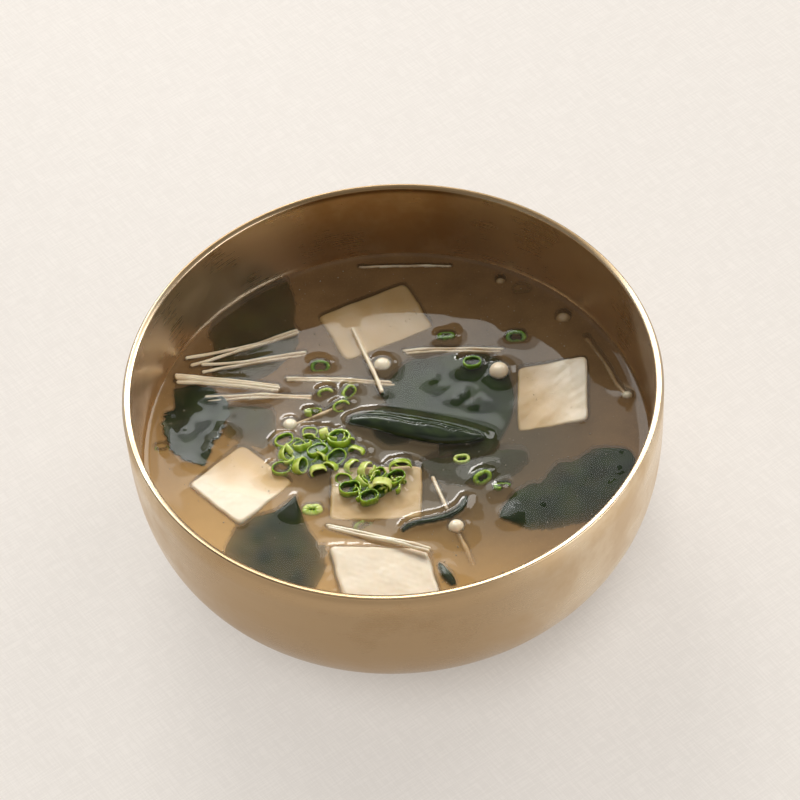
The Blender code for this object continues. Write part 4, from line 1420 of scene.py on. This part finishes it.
@dataclass
class Studio:
    """The camera, the lights, the sky and the cloth."""

    finish: LinenFinish
    camera_distance: float = 0.864
    camera_elevation: float = 50.255
    aim: tuple = (0.0017, -0.0070)
    roll: float = 4.28
    lens: float = 146.57
    sky: tuple = (1.0, 0.975, 0.94)
    sky_strength: float = 0.22
    floor_half: float = 2.0

    def build_camera(self) -> None:
        """Place the camera on the rim's upright plane and aim it at a point of the rim's level."""
        rim = Vector((0.0, 0.0, RIM_HEIGHT * MM))
        e = math.radians(self.camera_elevation)
        place = rim + Vector((0.0, -math.cos(e), math.sin(e))) * self.camera_distance
        look = (rim + Vector((*self.aim, 0.0)) - place).to_track_quat("-Z", "Y").to_matrix()
        turned = look @ Matrix.Rotation(-math.radians(self.roll), 3, "Z")
        data = bpy.data.cameras.new("camera")
        data.lens = self.lens
        data.sensor_width = 36.0
        data.clip_start, data.clip_end = 0.05, 20.0
        camera = bpy.data.objects.new("camera", data)
        bpy.context.scene.collection.objects.link(camera)
        camera.matrix_world = Matrix.Translation(place) @ turned.to_4x4()
        bpy.context.scene.camera = camera

    def build_lights(self) -> None:
        """A broad soft light behind the bowl, a small bright one lower down, and a dim sky."""
        lights = [
            SoftLight("key", 42.0, 36.0, 1.6, 0.85, 0.56, 8.0, (1.0, 0.985, 0.96)),
            SoftLight("window", -17.5, 42.0, 1.6, 1.04, 0.59, 3.3, (0.98, 1.0, 0.97)),
            SoftLight("window_side", -13.0, 43.5, 1.9, 1.55, 0.86, 2.1, (0.98, 1.0, 0.97)),
            SoftLight("overhead", 0.0, 80.0, 1.5, 1.8, 1.0, 0.32, (1.0, 0.99, 0.97)),
            SoftLight("bright_pane", -10.0, 31.0, 1.9, 0.66, 0.28, 22.0, (1.0, 0.98, 0.95)),
            SoftLight("right_card", 118.0, 14.0, 1.2, 0.90, 0.42, 5.3, (1.0, 0.98, 0.95)),
            SoftLight("front_fill", 172.0, 50.0, 1.4, 1.60, 1.00, 0.6, (1.0, 0.98, 0.95)),
        ]
        for light in lights:
            light.build()
        world = bpy.data.worlds.new("sky")
        world.use_nodes = True
        background = world.node_tree.nodes["Background"]
        background.inputs["Color"].default_value = (*self.sky, 1.0)
        background.inputs["Strength"].default_value = self.sky_strength
        bpy.context.scene.world = world
        bpy.context.scene.view_settings.view_transform = "Standard"

    def build_floor(self) -> None:
        """A wide square of cloth that the bowl stands on."""
        side = np.linspace(-self.floor_half, self.floor_half, 3) / MM
        x, y = np.meshgrid(side, side)
        points = np.stack([x, y, 0 * x], axis=-1)
        floor = make_piece("floor_cloth", grid_surface(points), self.finish.build())

    def build(self) -> None:
        """Set up the whole studio."""
        self.build_camera()
        self.build_lights()
        self.build_floor()


def main() -> None:
    """Build the studio, the bowl, what floats in the soup, and the soup round it."""
    logging.basicConfig(level=logging.INFO, format="%(name)s: %(message)s")
    Studio(LinenFinish()).build()
    bowl = Bowl(BrassFinish())
    bowl.build()
    depths = DepthMap()
    menu = [(tofu_blocks(), TofuFinish().build(), "tofu"), (sea_leaves(), WakameFinish().build(), "wakame"),
            (enoki(), MushroomFinish().build(), "mushroom"), (onion_greens(), OnionFinish().build(), "onion_green")]
    for pieces, material, slot in menu:
        for piece in pieces:
            surface = piece.surface()
            depths.drop_in(surface, piece.pull)
            name, nodes = ((f"{piece.node}_block", [piece.node]) if isinstance(piece, TofuBlock)
                           else (piece.name, piece.nodes))
            seat(make_piece(name, surface, material), nodes)
    soup = Soup(BrothFinish(), bowl)
    soup.settle(depths)
    soup.build_surface()
    soup.build_body()
    soup.build_specks()


if __name__ == "__main__":
    main()
